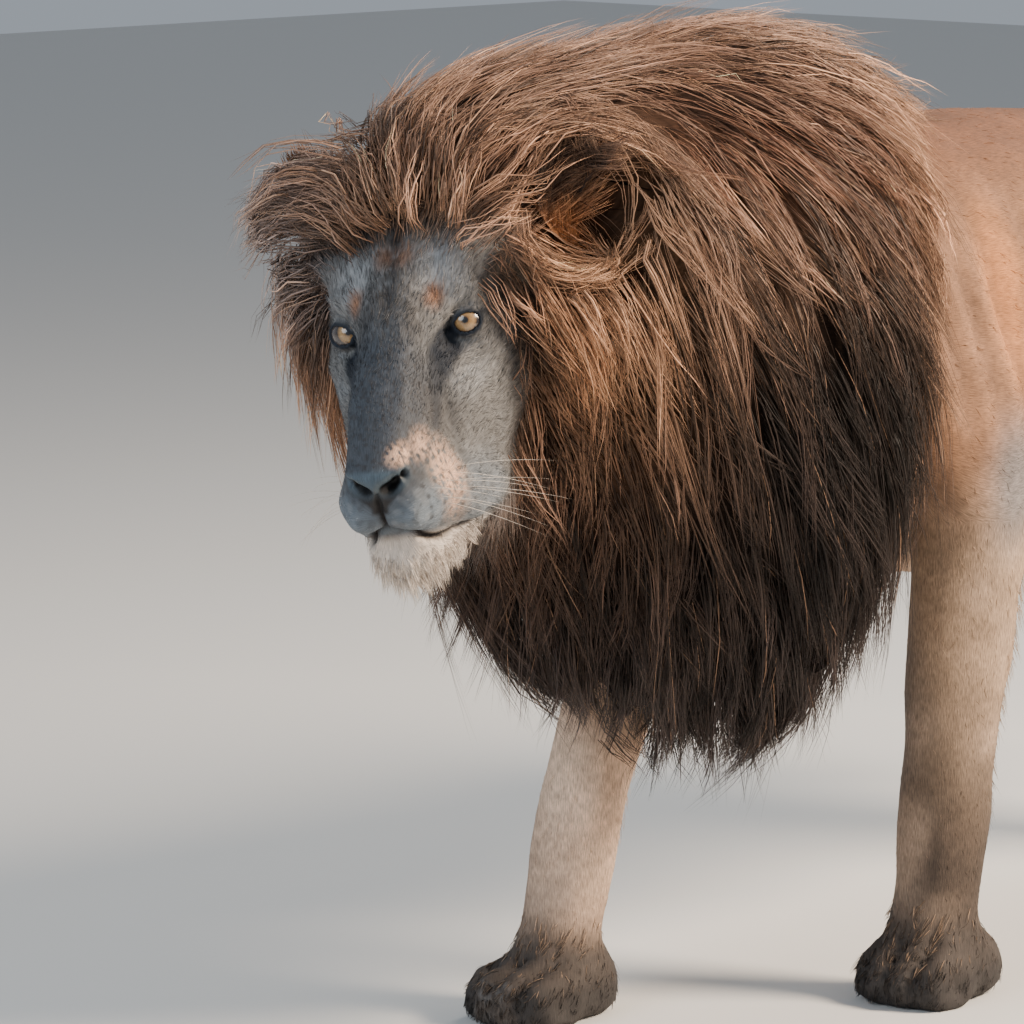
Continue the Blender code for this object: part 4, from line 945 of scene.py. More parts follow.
def tuft_piece(name, paths, normals, widths, tints, spots, flat):
    count, steps, _ = paths.shape
    rings = steps - 1
    forward = unit(np.gradient(paths, axis=1))[:, :rings]
    up = normals[:, None, :] - forward * (forward * normals[:, None, :]).sum(-1, keepdims=True)
    up = unit(up + 1e-6)
    across = np.cross(forward, up)
    t = np.arange(rings) / rings
    radius = 0.5 * widths[:, None] * (np.minimum(1.0, 0.55 + 1.6 * t) * (1 - t**1.8))[None, :]
    corners = []
    for turn in (90.0, 210.0, 330.0):
        a = math.radians(turn)
        corners.append(
            paths[:, :rings]
            + across * (math.cos(a) * radius)[..., None]
            + up * (math.sin(a) * flat * radius)[..., None]
        )
    body = np.stack(corners, 2).reshape(count, rings * 3, 3)
    verts = np.concatenate([body, paths[:, -1:]], 1)
    per = rings * 3 + 1
    shape = []
    for k in range(rings - 1):
        for c in range(3):
            a, b = 3 * k + c, 3 * k + (c + 1) % 3
            shape.append((a, b, b + 3))
            shape.append((a, b + 3, a + 3))
    last = 3 * (rings - 1)
    for c in range(3):
        shape.append((last + c, last + (c + 1) % 3, per - 1))
    shape.append((2, 1, 0))
    shape = np.array(shape, np.int32)
    faces = (shape[None] + (np.arange(count, dtype=np.int32) * per)[:, None, None]).reshape(-1, 3)
    mesh = bpy.data.meshes.new(name)
    mesh.vertices.add(count * per)
    mesh.vertices.foreach_set("co", verts.astype(np.float32).ravel())
    mesh.loops.add(faces.size)
    mesh.loops.foreach_set("vertex_index", faces.ravel())
    mesh.polygons.add(len(faces))
    mesh.polygons.foreach_set("loop_start", np.arange(0, faces.size, 3, dtype=np.int32))
    mesh.update(calc_edges=True)
    ring_tints = np.repeat(tints[:, :rings], 3, axis=1)
    colours = np.concatenate([ring_tints, tints[:, -1:]], 1).reshape(-1, 3)
    write_tint(mesh, colours)
    level = np.concatenate([np.repeat(np.arange(rings), 3) / steps, [1.0]]) - 0.5
    sideways = np.concatenate([np.tile([0.0, 0.5, -0.5], rings), [0.0]])
    patch = np.column_stack([sideways, level]) * TUFT_PATCH
    uv = (spots[:, None, :] + patch[None]).reshape(-1, 2)[faces.ravel()]
    mesh.uv_layers.new(name="OFBake").data.foreach_set("uv", uv.astype(np.float32).ravel())
    mesh.shade_smooth()
    return link(name, mesh)


def write_tint(mesh, colours):
    rgba = np.ones((len(colours), 4), np.float32)
    rgba[:, :3] = np.clip(colours, 0.002, 1.0)
    mesh.color_attributes.new("tint", "FLOAT_COLOR", "POINT").data.foreach_set("color", rgba.ravel())


def sampled(points, triangles, density, count):
    """Random places on a surface, more of them where density is high: triangle numbers and places."""
    corners = points[triangles]
    area = np.linalg.norm(np.cross(corners[:, 1] - corners[:, 0], corners[:, 2] - corners[:, 0]), axis=1) / 2
    weight = area * density
    chosen = rng.choice(len(triangles), count, p=weight / weight.sum())
    a, b = rng.random(count), rng.random(count)
    flip = a + b > 1
    a[flip], b[flip] = 1 - a[flip], 1 - b[flip]
    spread = np.column_stack([1 - a - b, a, b])
    return chosen, (corners[chosen] * spread[:, :, None]).sum(1), spread


# ---------------------------------------------------------------- the mane
# Which way the mane lies at some places of the head's frame, and of the whole lion.
HEAD_LIE = [
    ((0.000, 0.040, 0.100), (-0.35, 0.45, 0.80)),  # forelock
    ((0.050, 0.060, 0.110), (0.20, 0.60, 0.70)),
    ((-0.080, 0.080, 0.110), (-0.95, 0.15, 0.10)),  # wing over the right ear
    ((-0.150, 0.090, 0.090), (-0.85, 0.10, -0.45)),
    ((-0.180, 0.100, 0.030), (-0.30, 0.20, -0.95)),
    ((-0.150, 0.090, -0.060), (-0.20, 0.25, -0.95)),
    ((-0.110, 0.060, -0.150), (-0.10, 0.20, -0.97)),
    ((0.110, 0.110, 0.120), (0.60, 0.60, 0.25)),  # above the left ear
    ((0.150, 0.060, 0.040), (0.30, 0.28, -0.90)),  # before the left ear
    ((0.170, 0.070, -0.030), (0.20, 0.24, -0.95)),
    ((0.150, 0.060, -0.100), (0.10, 0.15, -0.98)),
    ((0.110, 0.030, -0.180), (0.12, 0.12, -0.98)),
    ((0.000, -0.020, -0.240), (0.00, 0.05, -1.00)),  # throat
]
BODY_LIE = [
    ((0.00, -0.82, 1.06), (0.05, 1.00, 0.10)),  # crest of the neck
    ((0.00, -0.45, 1.13), (0.10, 1.00, -0.12)),
    ((0.16, -0.48, 1.08), (0.45, 0.80, -0.45)),
    ((-0.16, -0.48, 1.08), (-0.45, 0.80, -0.45)),
    ((0.22, -0.78, 0.92), (0.18, 0.32, -0.93)),  # sides of the neck
    ((-0.22, -0.78, 0.92), (-0.30, 0.40, -0.85)),
    ((0.26, -0.70, 0.97), (0.20, 0.40, -0.88)),
    ((0.25, -0.58, 1.04), (0.30, 0.60, -0.74)),
    ((0.27, -0.44, 0.95), (0.10, 0.50, -0.86)),
    ((0.27, -0.55, 0.80), (0.05, 0.36, -0.93)),
    ((-0.27, -0.55, 0.80), (-0.05, 0.50, -0.87)),
    ((0.25, -0.28, 0.90), (0.10, 0.40, -0.90)),  # over the shoulders
    ((-0.25, -0.28, 0.90), (-0.10, 0.40, -0.90)),
    ((0.22, -0.30, 0.62), (0.02, 0.30, -0.95)),
    ((-0.22, -0.30, 0.62), (-0.02, 0.30, -0.95)),
    ((0.00, -0.95, 0.50), (0.00, 0.10, -1.00)),  # breast and fringe
    ((0.00, -0.70, 0.40), (0.00, 0.12, -1.00)),
    ((0.10, -0.50, 0.35), (0.03, 0.18, -1.00)),
    ((0.00, -0.12, 1.00), (0.00, 1.00, -0.08)),  # wisp along the back
]
LIE_REACH = 0.12
MANE_LOCKS, MANE_STRANDS, MANE_STEPS = 2650, 9, 6
PAST_SIDE, SOFT_SIDE = 0.006, 0.030
FRINGE_LOCKS, FRINGE_STRANDS = 640, 9
SWING = 0.30  # how far locks lean from the common lie, as a share of their length
WALL_GAP = 0.0045  # the mane's inner wall is nearer to the flesh than this
PAST_EDGE = 0.016  # hair reaches this far beyond the mane's edge
UNDERSIDE = 0.050  # how much deeper hair lies on the mane's underside; the fringe hangs out of it
FACES_DOWN = -0.80  # where the mane's surface faces lower than this, its hair hangs free


def mane_lie_field():
    places = np.concatenate([from_head([p for p, _ in HEAD_LIE]), np.array([p for p, _ in BODY_LIE])])
    ways = np.concatenate([turned_from_head([w for _, w in HEAD_LIE]), np.array([w for _, w in BODY_LIE])])
    reach = np.array([0.055] * len(HEAD_LIE) + [LIE_REACH] * len(BODY_LIE))
    return places, unit(ways), reach


LIE_PLACES, LIE_WAYS, LIE_REACHES = mane_lie_field()


def mane_lie(points):
    away = np.linalg.norm(points[:, None] - LIE_PLACES[None], axis=2) / LIE_REACHES
    weight = 1 / (0.15 + away**2) ** 2.2
    return unit((weight[..., None] * LIE_WAYS).sum(1))


MANE_BROWN = (0.340, 0.195, 0.128)
MANE_TAN = (0.46, 0.275, 0.170)
MANE_GOLD = (0.50, 0.230, 0.105)
MANE_RED = (0.160, 0.068, 0.038)
MANE_GREY = (0.19, 0.140, 0.110)
WING_GREY = (0.38, 0.300, 0.270)
MANE_DARK = (0.026, 0.017, 0.014)
MANE_BLACK = (0.017, 0.014, 0.014)
FRINGE_BROWN = (0.060, 0.046, 0.042)


def mane_colour(points):
    """The mane's colour: golden ruff by the face, brown sides, dark below and over the shoulders."""
    local = to_head(points)
    left = folded(local)
    x, y, z = points.T
    colour = np.tile(np.array(MANE_BROWN), (len(points), 1))
    colour = blend(colour, MANE_RED, 0.85 * ease(z + 0.35 * (y + 0.5), 0.80, 0.94))
    colour = blend(colour, MANE_GREY, 0.35 * ease(z, 1.00, 1.08))
    colour = blend(colour, MANE_GOLD, 0.75 * spot(left, (0.170, 0.10, -0.060), (0.070, 0.11, 0.15), 0.6))
    colour = blend(colour, MANE_TAN, 0.7 * spot(left, (0.21, 0.14, -0.02), (0.06, 0.12, 0.16), 0.6))
    cheek = spot(left, (0.120, 0.055, -0.045), (0.028, 0.045, 0.070), 0.6)
    colour = blend(colour, MANE_DARK, 0.8 * cheek)
    wing = spot(local, (-0.16, 0.09, 0.06), (0.10, 0.09, 0.10), 0.5)
    colour = blend(colour, WING_GREY, 0.85 * wing)
    crown = spot(local, (0.02, 0.07, 0.115), (0.09, 0.08, 0.05), 0.6)
    colour = blend(colour, MANE_TAN, 0.35 * crown)
    lower = 1 - ease(z + 0.10 * (y + 0.8), 0.50, 0.68)
    colour = blend(colour, MANE_DARK, 0.95 * lower)
    heart = spot(points, (0.24, -0.54, 0.66), (0.22, 0.24, 0.20), 0.6)
    colour = blend(colour, MANE_BLACK, 0.95 * heart)
    colour = blend(colour, FRINGE_BROWN, 0.8 * (1 - ease(z, 0.34, 0.50)))
    colour = blend(colour, MANE_BLACK, 0.8 * spot(points, (0.0, -0.13, 1.0), (0.08, 0.10, 0.06), 0.6))
    colour = blend(colour, MANE_TAN, 0.45 * ease(y, -0.46, -0.26) * ease(z, 0.6, 0.75))
    return colour * (1 + 0.18 * ripple(points, 0.10, 51))[:, None]


def mane_length(points):
    local = to_head(points)
    near_face = spot(local, (0.0, 0.05, 0.0), (0.19, 0.10, 0.17), 0.5)
    length = 0.165 - 0.070 * near_face
    return length * (1 - 0.35 * ease(points[:, 1], -0.34, -0.16))


def mane_surface():
    """The mane's outer surface: points, triangles and a tree; the wall towards the flesh is left out."""
    work = bmesh.new()
    work.from_mesh(frame["nodes"]["mane"].data)
    bmesh.ops.remove_doubles(work, verts=work.verts, dist=1e-5)
    bmesh.ops.subdivide_edges(work, edges=work.edges, cuts=1, smooth=0.6)
    mesh = bpy.data.meshes.new("mane_form")
    work.to_mesh(mesh)
    work.free()
    points, triangles = points_of(mesh), triangles_of(mesh)
    flesh = joined_copy(FLESH, "flesh_form")
    inner = tree_of(points_of(flesh), triangles_of(flesh))
    corners = points[triangles]
    out = unit(np.cross(corners[:, 1] - corners[:, 0], corners[:, 2] - corners[:, 0]))
    free = [
        inner.find_nearest(Vector(m))[3] > WALL_GAP and inner.ray_cast(Vector(m), Vector(n), 0.05)[0] is None
        for m, n in zip(corners.mean(1), out)
    ]
    triangles = triangles[np.array(free)]
    return points, triangles, tree_of(points, triangles), inner


CORE_GRAIN = 0.014
UNDERCOAT_SHADE = 0.13  # its tint as a share of the mane's; painted shade, so the gaps between locks read as shadow
CORE_DEPTH, CORE_LIFT = 0.028, 0.100  # under the tips of the hair, and more where the mane hangs
HIDDEN_IN_MANE, HIDDEN_IN_SKIN = 0.016, 0.009  # how deep the undercoat stays inside one or the other
SKYWARDS = Vector((0.02, 0.01, 1.0)).normalized()


def crossings(tree, start):
    """How many times a ray from here to the sky crosses a surface."""
    count = 0
    while True:
        met = tree.ray_cast(start, SKYWARDS)[0]
        if met is None:
            return count
        count += 1
        start = met + SKYWARDS * 1e-5


def depth_inside(tree, points):
    """How deep each point is inside a closed surface; less than 0 outside."""
    depth = []
    for point in points:
        away = tree.find_nearest(Vector(point))[3]
        depth.append(away if crossings(tree, Vector(point)) % 2 else -away)
    return np.array(depth)


def make_undercoat(skin):
    """The mane's dense inside, well under the tips of its hair, darkened as painted shade between the locks."""
    mesh = remeshed(FLESH + ("mane",), CORE_GRAIN, "mane_undercoat")
    mesh.name = "mane_undercoat"
    work = bmesh.new()
    work.from_mesh(mesh)
    mane_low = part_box("mane")[0]
    work.verts.ensure_lookup_table()
    bmesh.ops.bisect_plane(
        work,
        geom=work.verts[:] + work.edges[:] + work.faces[:],
        plane_co=(0, 0.02, 0),
        plane_no=(0, 1, 0),
        clear_outer=True,
    )
    low_plane = (0, 0, mane_low.z - 0.02)
    bmesh.ops.bisect_plane(
        work,
        geom=work.verts[:] + work.edges[:] + work.faces[:],
        plane_co=low_plane,
        plane_no=(0, 0, 1),
        clear_inner=True,
    )
    bmesh.ops.holes_fill(work, edges=[edge for edge in work.edges if edge.is_boundary])
    bmesh.ops.triangulate(work, faces=work.faces)
    work.to_mesh(mesh)
    work.free()
    edges = edges_of(mesh)
    set_points(mesh, evened(points_of(mesh), edges, 20))
    for _ in range(4):
        normals = normals_of(mesh)
        depth = (CORE_DEPTH + CORE_LIFT * ease(-normals[:, 2], 0.2, 0.9)) / 4
        set_points(mesh, evened(points_of(mesh) - normals * depth[:, None], edges, 3))
    mane = frame["nodes"]["mane"].data
    mane_tree = tree_of(points_of(mane), triangles_of(mane))
    off_ears = sum(spot(skin.middles, middle_of(node), (0.08, 0.08, 0.10), 0.01) for node in EARS) < 0.5
    whole_tree = tree_of(skin.points, skin.triangles)
    skin_tree = tree_of(skin.points, skin.triangles[off_ears])
    points = points_of(mesh)
    for _ in range(3):
        points = evened(points, edges, 2)
        in_mane, in_skin = depth_inside(mane_tree, points), depth_inside(whole_tree, points)
        near = np.array([skin_tree.find_nearest(Vector(point))[0] for point in points])
        inwards = unit(near - points) * np.where(in_skin < 0, 1, -1)[:, None]
        by_ear = sum(spot(points, middle_of(node), (0.085, 0.085, 0.125), 0.01) for node in EARS) > 0.5
        by_face = (to_head(points)[:, 1] < 0.095) & (points[:, 1] < -0.74)
        shown = ((in_mane < HIDDEN_IN_MANE) | by_ear | by_face) & (in_skin < HIDDEN_IN_SKIN)
        points[shown] = near[shown] + inwards[shown] * (HIDDEN_IN_SKIN + 0.001)
    set_points(mesh, points)
    mesh.shade_smooth()
    # Painted shade: the undercoat wears the mane's colours, darkened.
    write_tint(mesh, mane_colour(points) * UNDERCOAT_SHADE)
    lay_out(mesh)
    core = link("mane_undercoat", mesh)
    mesh.materials.append(coat_material("mane_shade_base", "tint", (500.0, 40.0), 0.85, 0.05))
    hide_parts("mane")
    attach(core, "root")


def traced(start, normal, depth_from, depth_to, length, tree, steps=MANE_STEPS + 4):
    """A guide hair that starts under the surface and lies along it, rising to it."""
    path, normals = [start], [normal]
    at = start.copy()
    step = length / (steps - 1)
    for k in range(1, steps):
        way = mane_lie(at[None])[0]
        out = way @ normal
        way = way - normal * out * (0.9 if out > 0 else 0.6)
        size = np.linalg.norm(way)
        if size < 0.25 or normal[2] < FACES_DOWN - 0.1:
            break
        trial = at + way / size * step
        near, new_normal, _, _ = tree.find_nearest(Vector(trial))
        normal = np.array(new_normal)
        want = depth_from + (depth_to - depth_from) * (k / (steps - 1)) ** 0.6
        gap = (trial - np.array(near)) @ normal
        if np.linalg.norm(trial - np.array(near) - normal * gap) > PAST_EDGE:
            break
        at = trial + normal * np.clip(-want - gap, -step, step)
        path.append(at)
        normals.append(normal)
    return path, normals


def locks(guides, out, strands, spread, pull, wave, loose=0.05):
    """Strands round each guide hair, drawn together towards its tip: their paths, normals and guides."""
    owner = np.repeat(np.arange(len(guides)), strands)
    total = len(owner)
    paths, out = guides[owner], out[owner]
    across = unit(np.cross(unit(paths[:, -1] - paths[:, 0]), out))
    t = np.linspace(0, 1, guides.shape[1])[None]
    gather = 1 - rng.uniform(*pull, total)[:, None] * t**1.3
    side = rng.normal(0, spread, total)[:, None] * gather
    rise = rng.normal(0, 0.42 * spread, total)[:, None] * gather
    swell = (wave[owner] * rng.uniform(0.4, 1.6, total))[:, None] * t**0.7
    turns = rng.uniform(0.7, 2.0, total)[:, None]
    phase = rng.uniform(0, 2 * math.pi, (2, total, 1))
    side = side + np.sin(2 * math.pi * turns * t + phase[0]) * swell
    rise = rise + np.cos(2 * math.pi * turns * t + phase[1]) * 0.6 * swell
    free = (rng.random(total) < loose)[:, None]
    side = side + free * rng.normal(0, 0.014, total)[:, None] * t**2
    rise = rise + free * rng.uniform(0.003, 0.015, total)[:, None] * t**2
    slide = rng.uniform(-0.18, 0.12, total)[:, None, None] * (paths[:, -1:] - paths[:, :1]) * t[..., None]
    return paths + across[:, None] * side[..., None] + out[:, None] * rise[..., None] + slide, out, owner


def strand_tints(paths, owner, groups, pale, share, lock_tone=0.24, own_tone=0.28):
    """Each strand's colour from its root to its tip, with tones of its lock and its own, and pale streaks."""
    total, steps, _ = paths.shape
    t = np.linspace(0, 1, steps)
    roots, tips = mane_colour(paths[:, 1]), mane_colour(paths[:, -1])
    lock = np.exp(lock_tone * rng.normal(0, 1, groups))
    kind = rng.random(groups)
    lock = lock * np.where(kind < 0.20, 0.40, 1.0) * np.where(kind > 0.86, 1.5, 1.0)
    tone = lock[owner] * np.exp(own_tone * rng.normal(0, 1, total))
    tints = roots[:, None] + (tips - roots)[:, None] * t[None, :, None]
    tints = tints * tone[:, None, None] * (0.50 + 0.62 * t)[None, :, None]
    light = (rng.random(total) < share * (0.15 + ease(tips[:, 0], 0.05, 0.18)))[:, None, None]
    light = light * (0.25 + 0.5 * t)[None, :, None]
    return tints + (np.array(pale) * tone[:, None, None] - tints) * light


def strand_widths(total, fine, broad, broad_share=0.3):
    return np.where(rng.random(total) < broad_share, rng.uniform(*broad, total), rng.uniform(*fine, total))


def held_in(paths):
    """Bring strands that swing wide back to the mane's widest line."""
    widest = max(abs(corner.x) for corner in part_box("mane")) + PAST_SIDE
    x = paths[..., 0]
    over = np.maximum(np.abs(x) - (widest - SOFT_SIDE), 0)
    paths[..., 0] = np.sign(x) * (np.minimum(np.abs(x), widest - SOFT_SIDE) + SOFT_SIDE * np.tanh(over / SOFT_SIDE))


def make_mane():
    points, triangles, tree, inner = mane_surface()
    corners = points[triangles]
    middles = corners.mean(1)
    facing = unit(np.cross(corners[:, 1] - corners[:, 0], corners[:, 2] - corners[:, 0]))
    density = 1.0 + 1.3 * spot(to_head(middles), (0.0, 0.06, 0.0), (0.22, 0.13, 0.20), 0.5)
    density *= facing[:, 2] > FACES_DOWN
    chosen, places, _ = sampled(points, triangles, density, MANE_LOCKS)
    lengths = mane_length(places) * rng.uniform(0.55, 1.40, MANE_LOCKS)
    guides, out = [], []
    for place, way_out, length in zip(places, facing[chosen], lengths):
        room = inner.find_nearest(Vector(place))[3]
        deep = min(rng.uniform(0.008, 0.040), 0.8 * room)
        tip = rng.uniform(-0.016, 0.008) + 0.35 * deep * rng.random()
        path, normals = traced(place - way_out * deep, way_out, deep, tip, length, tree)
        if len(path) > 3:
            half_way = normals[len(normals) // 2]
            sunk = UNDERSIDE * float(ease(-half_way[2], 0.05, 0.55))
            guides.append(resampled(path, MANE_STEPS) - half_way * sunk)
            out.append(half_way)
    guides, out = np.array(guides), np.array(out)
    frizz = spot(to_head(guides[:, 0]), (0.0, 0.06, 0.09), (0.11, 0.08, 0.07), 0.5)
    frizz = np.maximum(frizz, 0.9 * ease(guides[:, 0, 2] + 0.4 * guides[:, 0, 1], 0.66, 0.90))
    t = np.linspace(0, 1, MANE_STEPS)
    swing = sum(
        ripple(guides[:, 0], size, seed)[:, None] * np.array(axis)
        for size, seed, axis in ((0.07, 71, (1, 0, 0)), (0.07, 72, (0, 1, 0)), (0.05, 73, (0, 0, 1)))
    )
    swing = swing - out * (swing * out).sum(1, keepdims=True)
    reach = np.linalg.norm(guides[:, -1] - guides[:, 0], axis=1)
    swing = swing + rng.normal(0, 0.14, guides[:, 0].shape)
    guides = guides + SWING * (swing * reach[:, None])[:, None] * (t**1.5)[None, :, None]
    paths, normals, owner = locks(guides, out, MANE_STRANDS, 0.0105, (0.55, 0.98), 0.0022 + 0.0050 * frizz)
    held_in(paths)
    tints = strand_tints(paths, owner, len(guides), np.array(MANE_TAN) * 1.2, 0.14)
    dark = spot(paths[:, 3], (0.24, -0.60, 0.64), (0.22, 0.20, 0.20), 0.5)
    tints = tints * (1 - 0.35 * dark)[:, None, None]
    widths = strand_widths(len(paths), (0.0009, 0.0018), (0.0022, 0.0034))
    spots = unwrap(paths[:, 0], chart_of(paths[:, 0]))
    material = hair_material("mane_hair")
    solid_tufts("mane", paths, normals, widths, tints, spots, material, ("mane",))
    make_fringe(points, triangles, facing, material)


def make_fringe(points, triangles, facing, material):
    """Pointed locks that hang straight down from the mane's underside, to the envelope's bottom."""
    middles = points[triangles].mean(1)
    density = ease(-facing[:, 2], 0.05, 0.5) * (1 - ease(middles[:, 2], 0.50, 0.62))
    _, tips, _ = sampled(points, triangles, density, FRINGE_LOCKS)
    tips = tips + np.array([0, 0, 1.0]) * (rng.random(FRINGE_LOCKS) ** 1.3 * 0.10)[:, None]
    middle = np.array([0.0, -0.52, 0.0])
    inwards = unit((middle - tips) * np.array([1, 0.4, 0]))
    length = rng.uniform(0.13, 0.21, FRINGE_LOCKS)
    t = np.linspace(0, 1, MANE_STEPS)
    rise = (1 - t)[None, :, None] * length[:, None, None]
    guides = tips[:, None] + np.array([0, 0.10, 1.0]) * rise + inwards[:, None] * 0.22 * rise
    guides = guides + rng.normal(0, 0.010, (FRINGE_LOCKS, 1, 3)) * np.sin(math.pi * t)[None, :, None]
    wave = np.full(FRINGE_LOCKS, 0.003)
    paths, normals, owner = locks(guides, -inwards, FRINGE_STRANDS, 0.011, (0.60, 0.98), wave, 0.08)
    tints = strand_tints(paths, owner, FRINGE_LOCKS, np.array(MANE_TAN) * 0.6, 0.06)
    widths = strand_widths(len(paths), (0.0013, 0.0024), (0.0028, 0.0044))
    paths[:, :, 2] = np.maximum(paths[:, :, 2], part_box("mane")[0].z - 0.004)
    spots = unwrap(paths[:, 0], chart_of(paths[:, 0]))
    solid_tufts("mane_fringe", paths, normals, widths, tints, spots, material, ("mane",))


# ---------------------------------------------------------------- hair that grows from the skin
class Skin:
    """The finished skin's points, normals, triangles and colours, to root hair on."""

    def __init__(self, mesh, tints):
        self.points, self.normals, self.triangles = points_of(mesh), normals_of(mesh), triangles_of(mesh)
        self.tints = tints
        self.middles = self.points[self.triangles].mean(1)
        self.local = to_head(self.middles)
        self.out = unit(self.normals[self.triangles].mean(1))

    def roots(self, density, count):
        """Random places where density is high: places, the way out and the skin's colour there."""
        chosen, places, spread = sampled(self.points, self.triangles, density, count)
        corners = self.triangles[chosen]
        out = unit((self.normals[corners] * spread[:, :, None]).sum(1))
        return places, out, (self.tints[corners] * spread[:, :, None]).sum(1)


ON_FLOOR = 0.0015  # hair stays above the floor by this


def short_coat(name, skin, density, count, length, width, lift, tone=0.18, steps=3):
    """Tufts over the skin: length, width and lift are functions of the place, lift in degrees."""
    places, out, colours = skin.roots(density, count)
    lie = skin_lie(places)
    lie = unit(lie - out * (lie * out).sum(1, keepdims=True))
    across = np.cross(out, lie)
    lie = unit(lie + across * (rng.normal(0, 0.20, count) + 0.35 * ripple(places, 0.05, 61))[:, None])
    long = length(places) * rng.uniform(0.7, 1.3, count)
    rise = np.radians(lift(places) * rng.uniform(0.5, 1.5, count))
    t = np.linspace(0, 1, steps)
    run = long[:, None] * t[None]
    height = np.sin(rise)[:, None] * run * (1 - 0.35 * t[None]) - 0.0006
    bend = rng.normal(0, 0.10, count)[:, None] * long[:, None] * t[None] ** 2
    paths = places[:, None] + lie[:, None] * run[..., None] + out[:, None] * height[..., None]
    paths = paths + across[:, None] * bend[..., None]
    paths[:, :, 2] = np.maximum(paths[:, :, 2], ON_FLOOR)
    shade = np.exp(tone * rng.normal(0, 1, count))
    tints = colours[:, None] * shade[:, None, None] * (0.80 + 0.45 * t)[None, :, None]
    widths = width(places) * rng.uniform(0.7, 1.3, count)
    material = bpy.data.materials.get("coat_hair") or hair_material("coat_hair", 0.65)
    spots = unwrap(places, chart_of(places))
    return solid_tufts(name, paths, out, widths, tints, spots, material)


def long_hair(name, skin, density, count, length, width, lie, lift, droop, tips, gather=0.5, steps=5):
    """Longer hair from the skin: it stands off by lift degrees, droops, and gathers into small locks."""
    places, out, colours = skin.roots(density, count)
    way = lie(places)
    way = unit(way - out * (way * out).sum(1, keepdims=True) * 0.9)
    rise = np.radians(lift * rng.uniform(0.5, 1.4, count))[:, None]
    way = unit(way * np.cos(rise) + out * np.sin(rise) + rng.normal(0, 0.10, (count, 3)))
    long = length(places) * rng.uniform(0.65, 1.3, count)
    t = np.linspace(0, 1, steps)
    fall = np.array([0, 0, -1.0]) * droop
    paths = places[:, None] - out[:, None] * 0.001 + way[:, None] * (long[:, None] * t[None])[..., None]
    paths = paths + fall[None, None] * (long[:, None] * (t**2)[None])[..., None]
    leaders = rng.choice(count, max(1, count // 7), replace=False)
    nearest = leaders[np.argmin(((places[:, None] - places[None, leaders]) ** 2).sum(-1), 1)]
    apart = np.linalg.norm(places - places[nearest], axis=1)
    draw = (gather * rng.uniform(0.5, 1.2, count) * (apart < 0.015))[:, None, None] * (t**1.5)[None, :, None]
    paths = paths + (paths[nearest] - paths) * draw.clip(0, 1)
    paths = paths + rng.normal(0, 0.03, (count, 1, 3)) * (long[:, None] * np.sin(math.pi * t)[None])[..., None]
    paths[:, :, 2] = np.maximum(paths[:, :, 2], ON_FLOOR)
    ends = tips(paths[:, -1], colours)
    shade = np.exp(0.25 * rng.normal(0, 1, count))[:, None, None]
    tints = (colours[:, None] + (ends - colours)[:, None] * (t**0.8)[None, :, None]) * shade
    widths = width * rng.uniform(0.6, 1.4, count)
    spots = unwrap(places, chart_of(places))
    material = bpy.data.materials.get("coat_hair") or hair_material("coat_hair", 0.65)
    return solid_tufts(name, paths, out, widths, tints, spots, material)


def down_and_back(points):
    """The lie of the ruff: outwards and back from the face, and down."""
    local = to_head(points)
    side = np.sign(local[:, 0]) * 0.45
    ways = np.column_stack([side, np.full(len(points), 0.62), -0.70 - 0.9 * ease(-local[:, 2], 0.02, 0.14)])
    return unit(turned_from_head(ways))


def up_and_back(points):
    ways = np.column_stack([0.6 * to_head(points)[:, 0] / 0.06, np.full(len(points), 0.8), np.full(len(points), 0.55)])
    return unit(turned_from_head(ways))


def straight_down(points):
    return np.tile(np.array([0.0, 0.08, -1.0]), (len(points), 1))


def towards_mane(ends, roots):
    return 0.35 * roots + 0.65 * mane_colour(ends)


def make_face_hair(skin):
    """The hair that frames the face: ruff, hairline, jaw and chin."""
    x, y, z = folded(skin.local).T
    outside = (skin.middles[:, 1] < -0.74) & (skin.middles[:, 2] > 0.48)
    ruff = outside * ease(y, 0.020, 0.060) * (1 - ease(y, 0.16, 0.22)) * (z < 0.075) * (x > 0.045)
    long_hair(
        "ruff", skin, ruff, 3800,
        lambda p: 0.016 + 0.072 * ease(to_head(p)[:, 1], 0.035, 0.120),
        0.0011, down_and_back, 17.0, 0.35, towards_mane,
    )
    hairline = outside * ease(y + 0.5 * (z - 0.085), 0.000, 0.040) * (1 - ease(y, 0.13, 0.17)) * (z > 0.040)
    long_hair(
        "hairline", skin, hairline, 3200,
        lambda p: 0.012 + 0.046 * ease(to_head(p)[:, 1], 0.015, 0.080),
        0.0012, up_and_back, 24.0, 0.0, towards_mane,
    )
    throat = outside * (z < -0.165) * ease(y, -0.07, -0.01) * (1 - ease(y, 0.14, 0.18))
    long_hair(
        "throat", skin, throat, 1800,
        lambda p: 0.030 + 0.070 * ease(to_head(p)[:, 1], -0.04, 0.06),
        0.0014, straight_down, 10.0, 0.1, towards_mane,
    )
    chin = outside * (z < -0.172) * (1 - ease(y, -0.085, -0.055)) * (skin.out[:, 2] < 0.30)
    chin_lie = unit(turned_from_head(np.array([[0.10, 0.45, -0.90]])))
    long_hair(
        "chin_hair", skin, chin, 1500,
        lambda p: 0.012 + 0.016 * ease(-to_head(p)[:, 2], 0.170, 0.205),
        0.0011, lambda p: np.repeat(chin_lie, len(p), 0), 26.0, 0.25, lambda ends, roots: roots * 1.15,
        0.75, 4,
    )


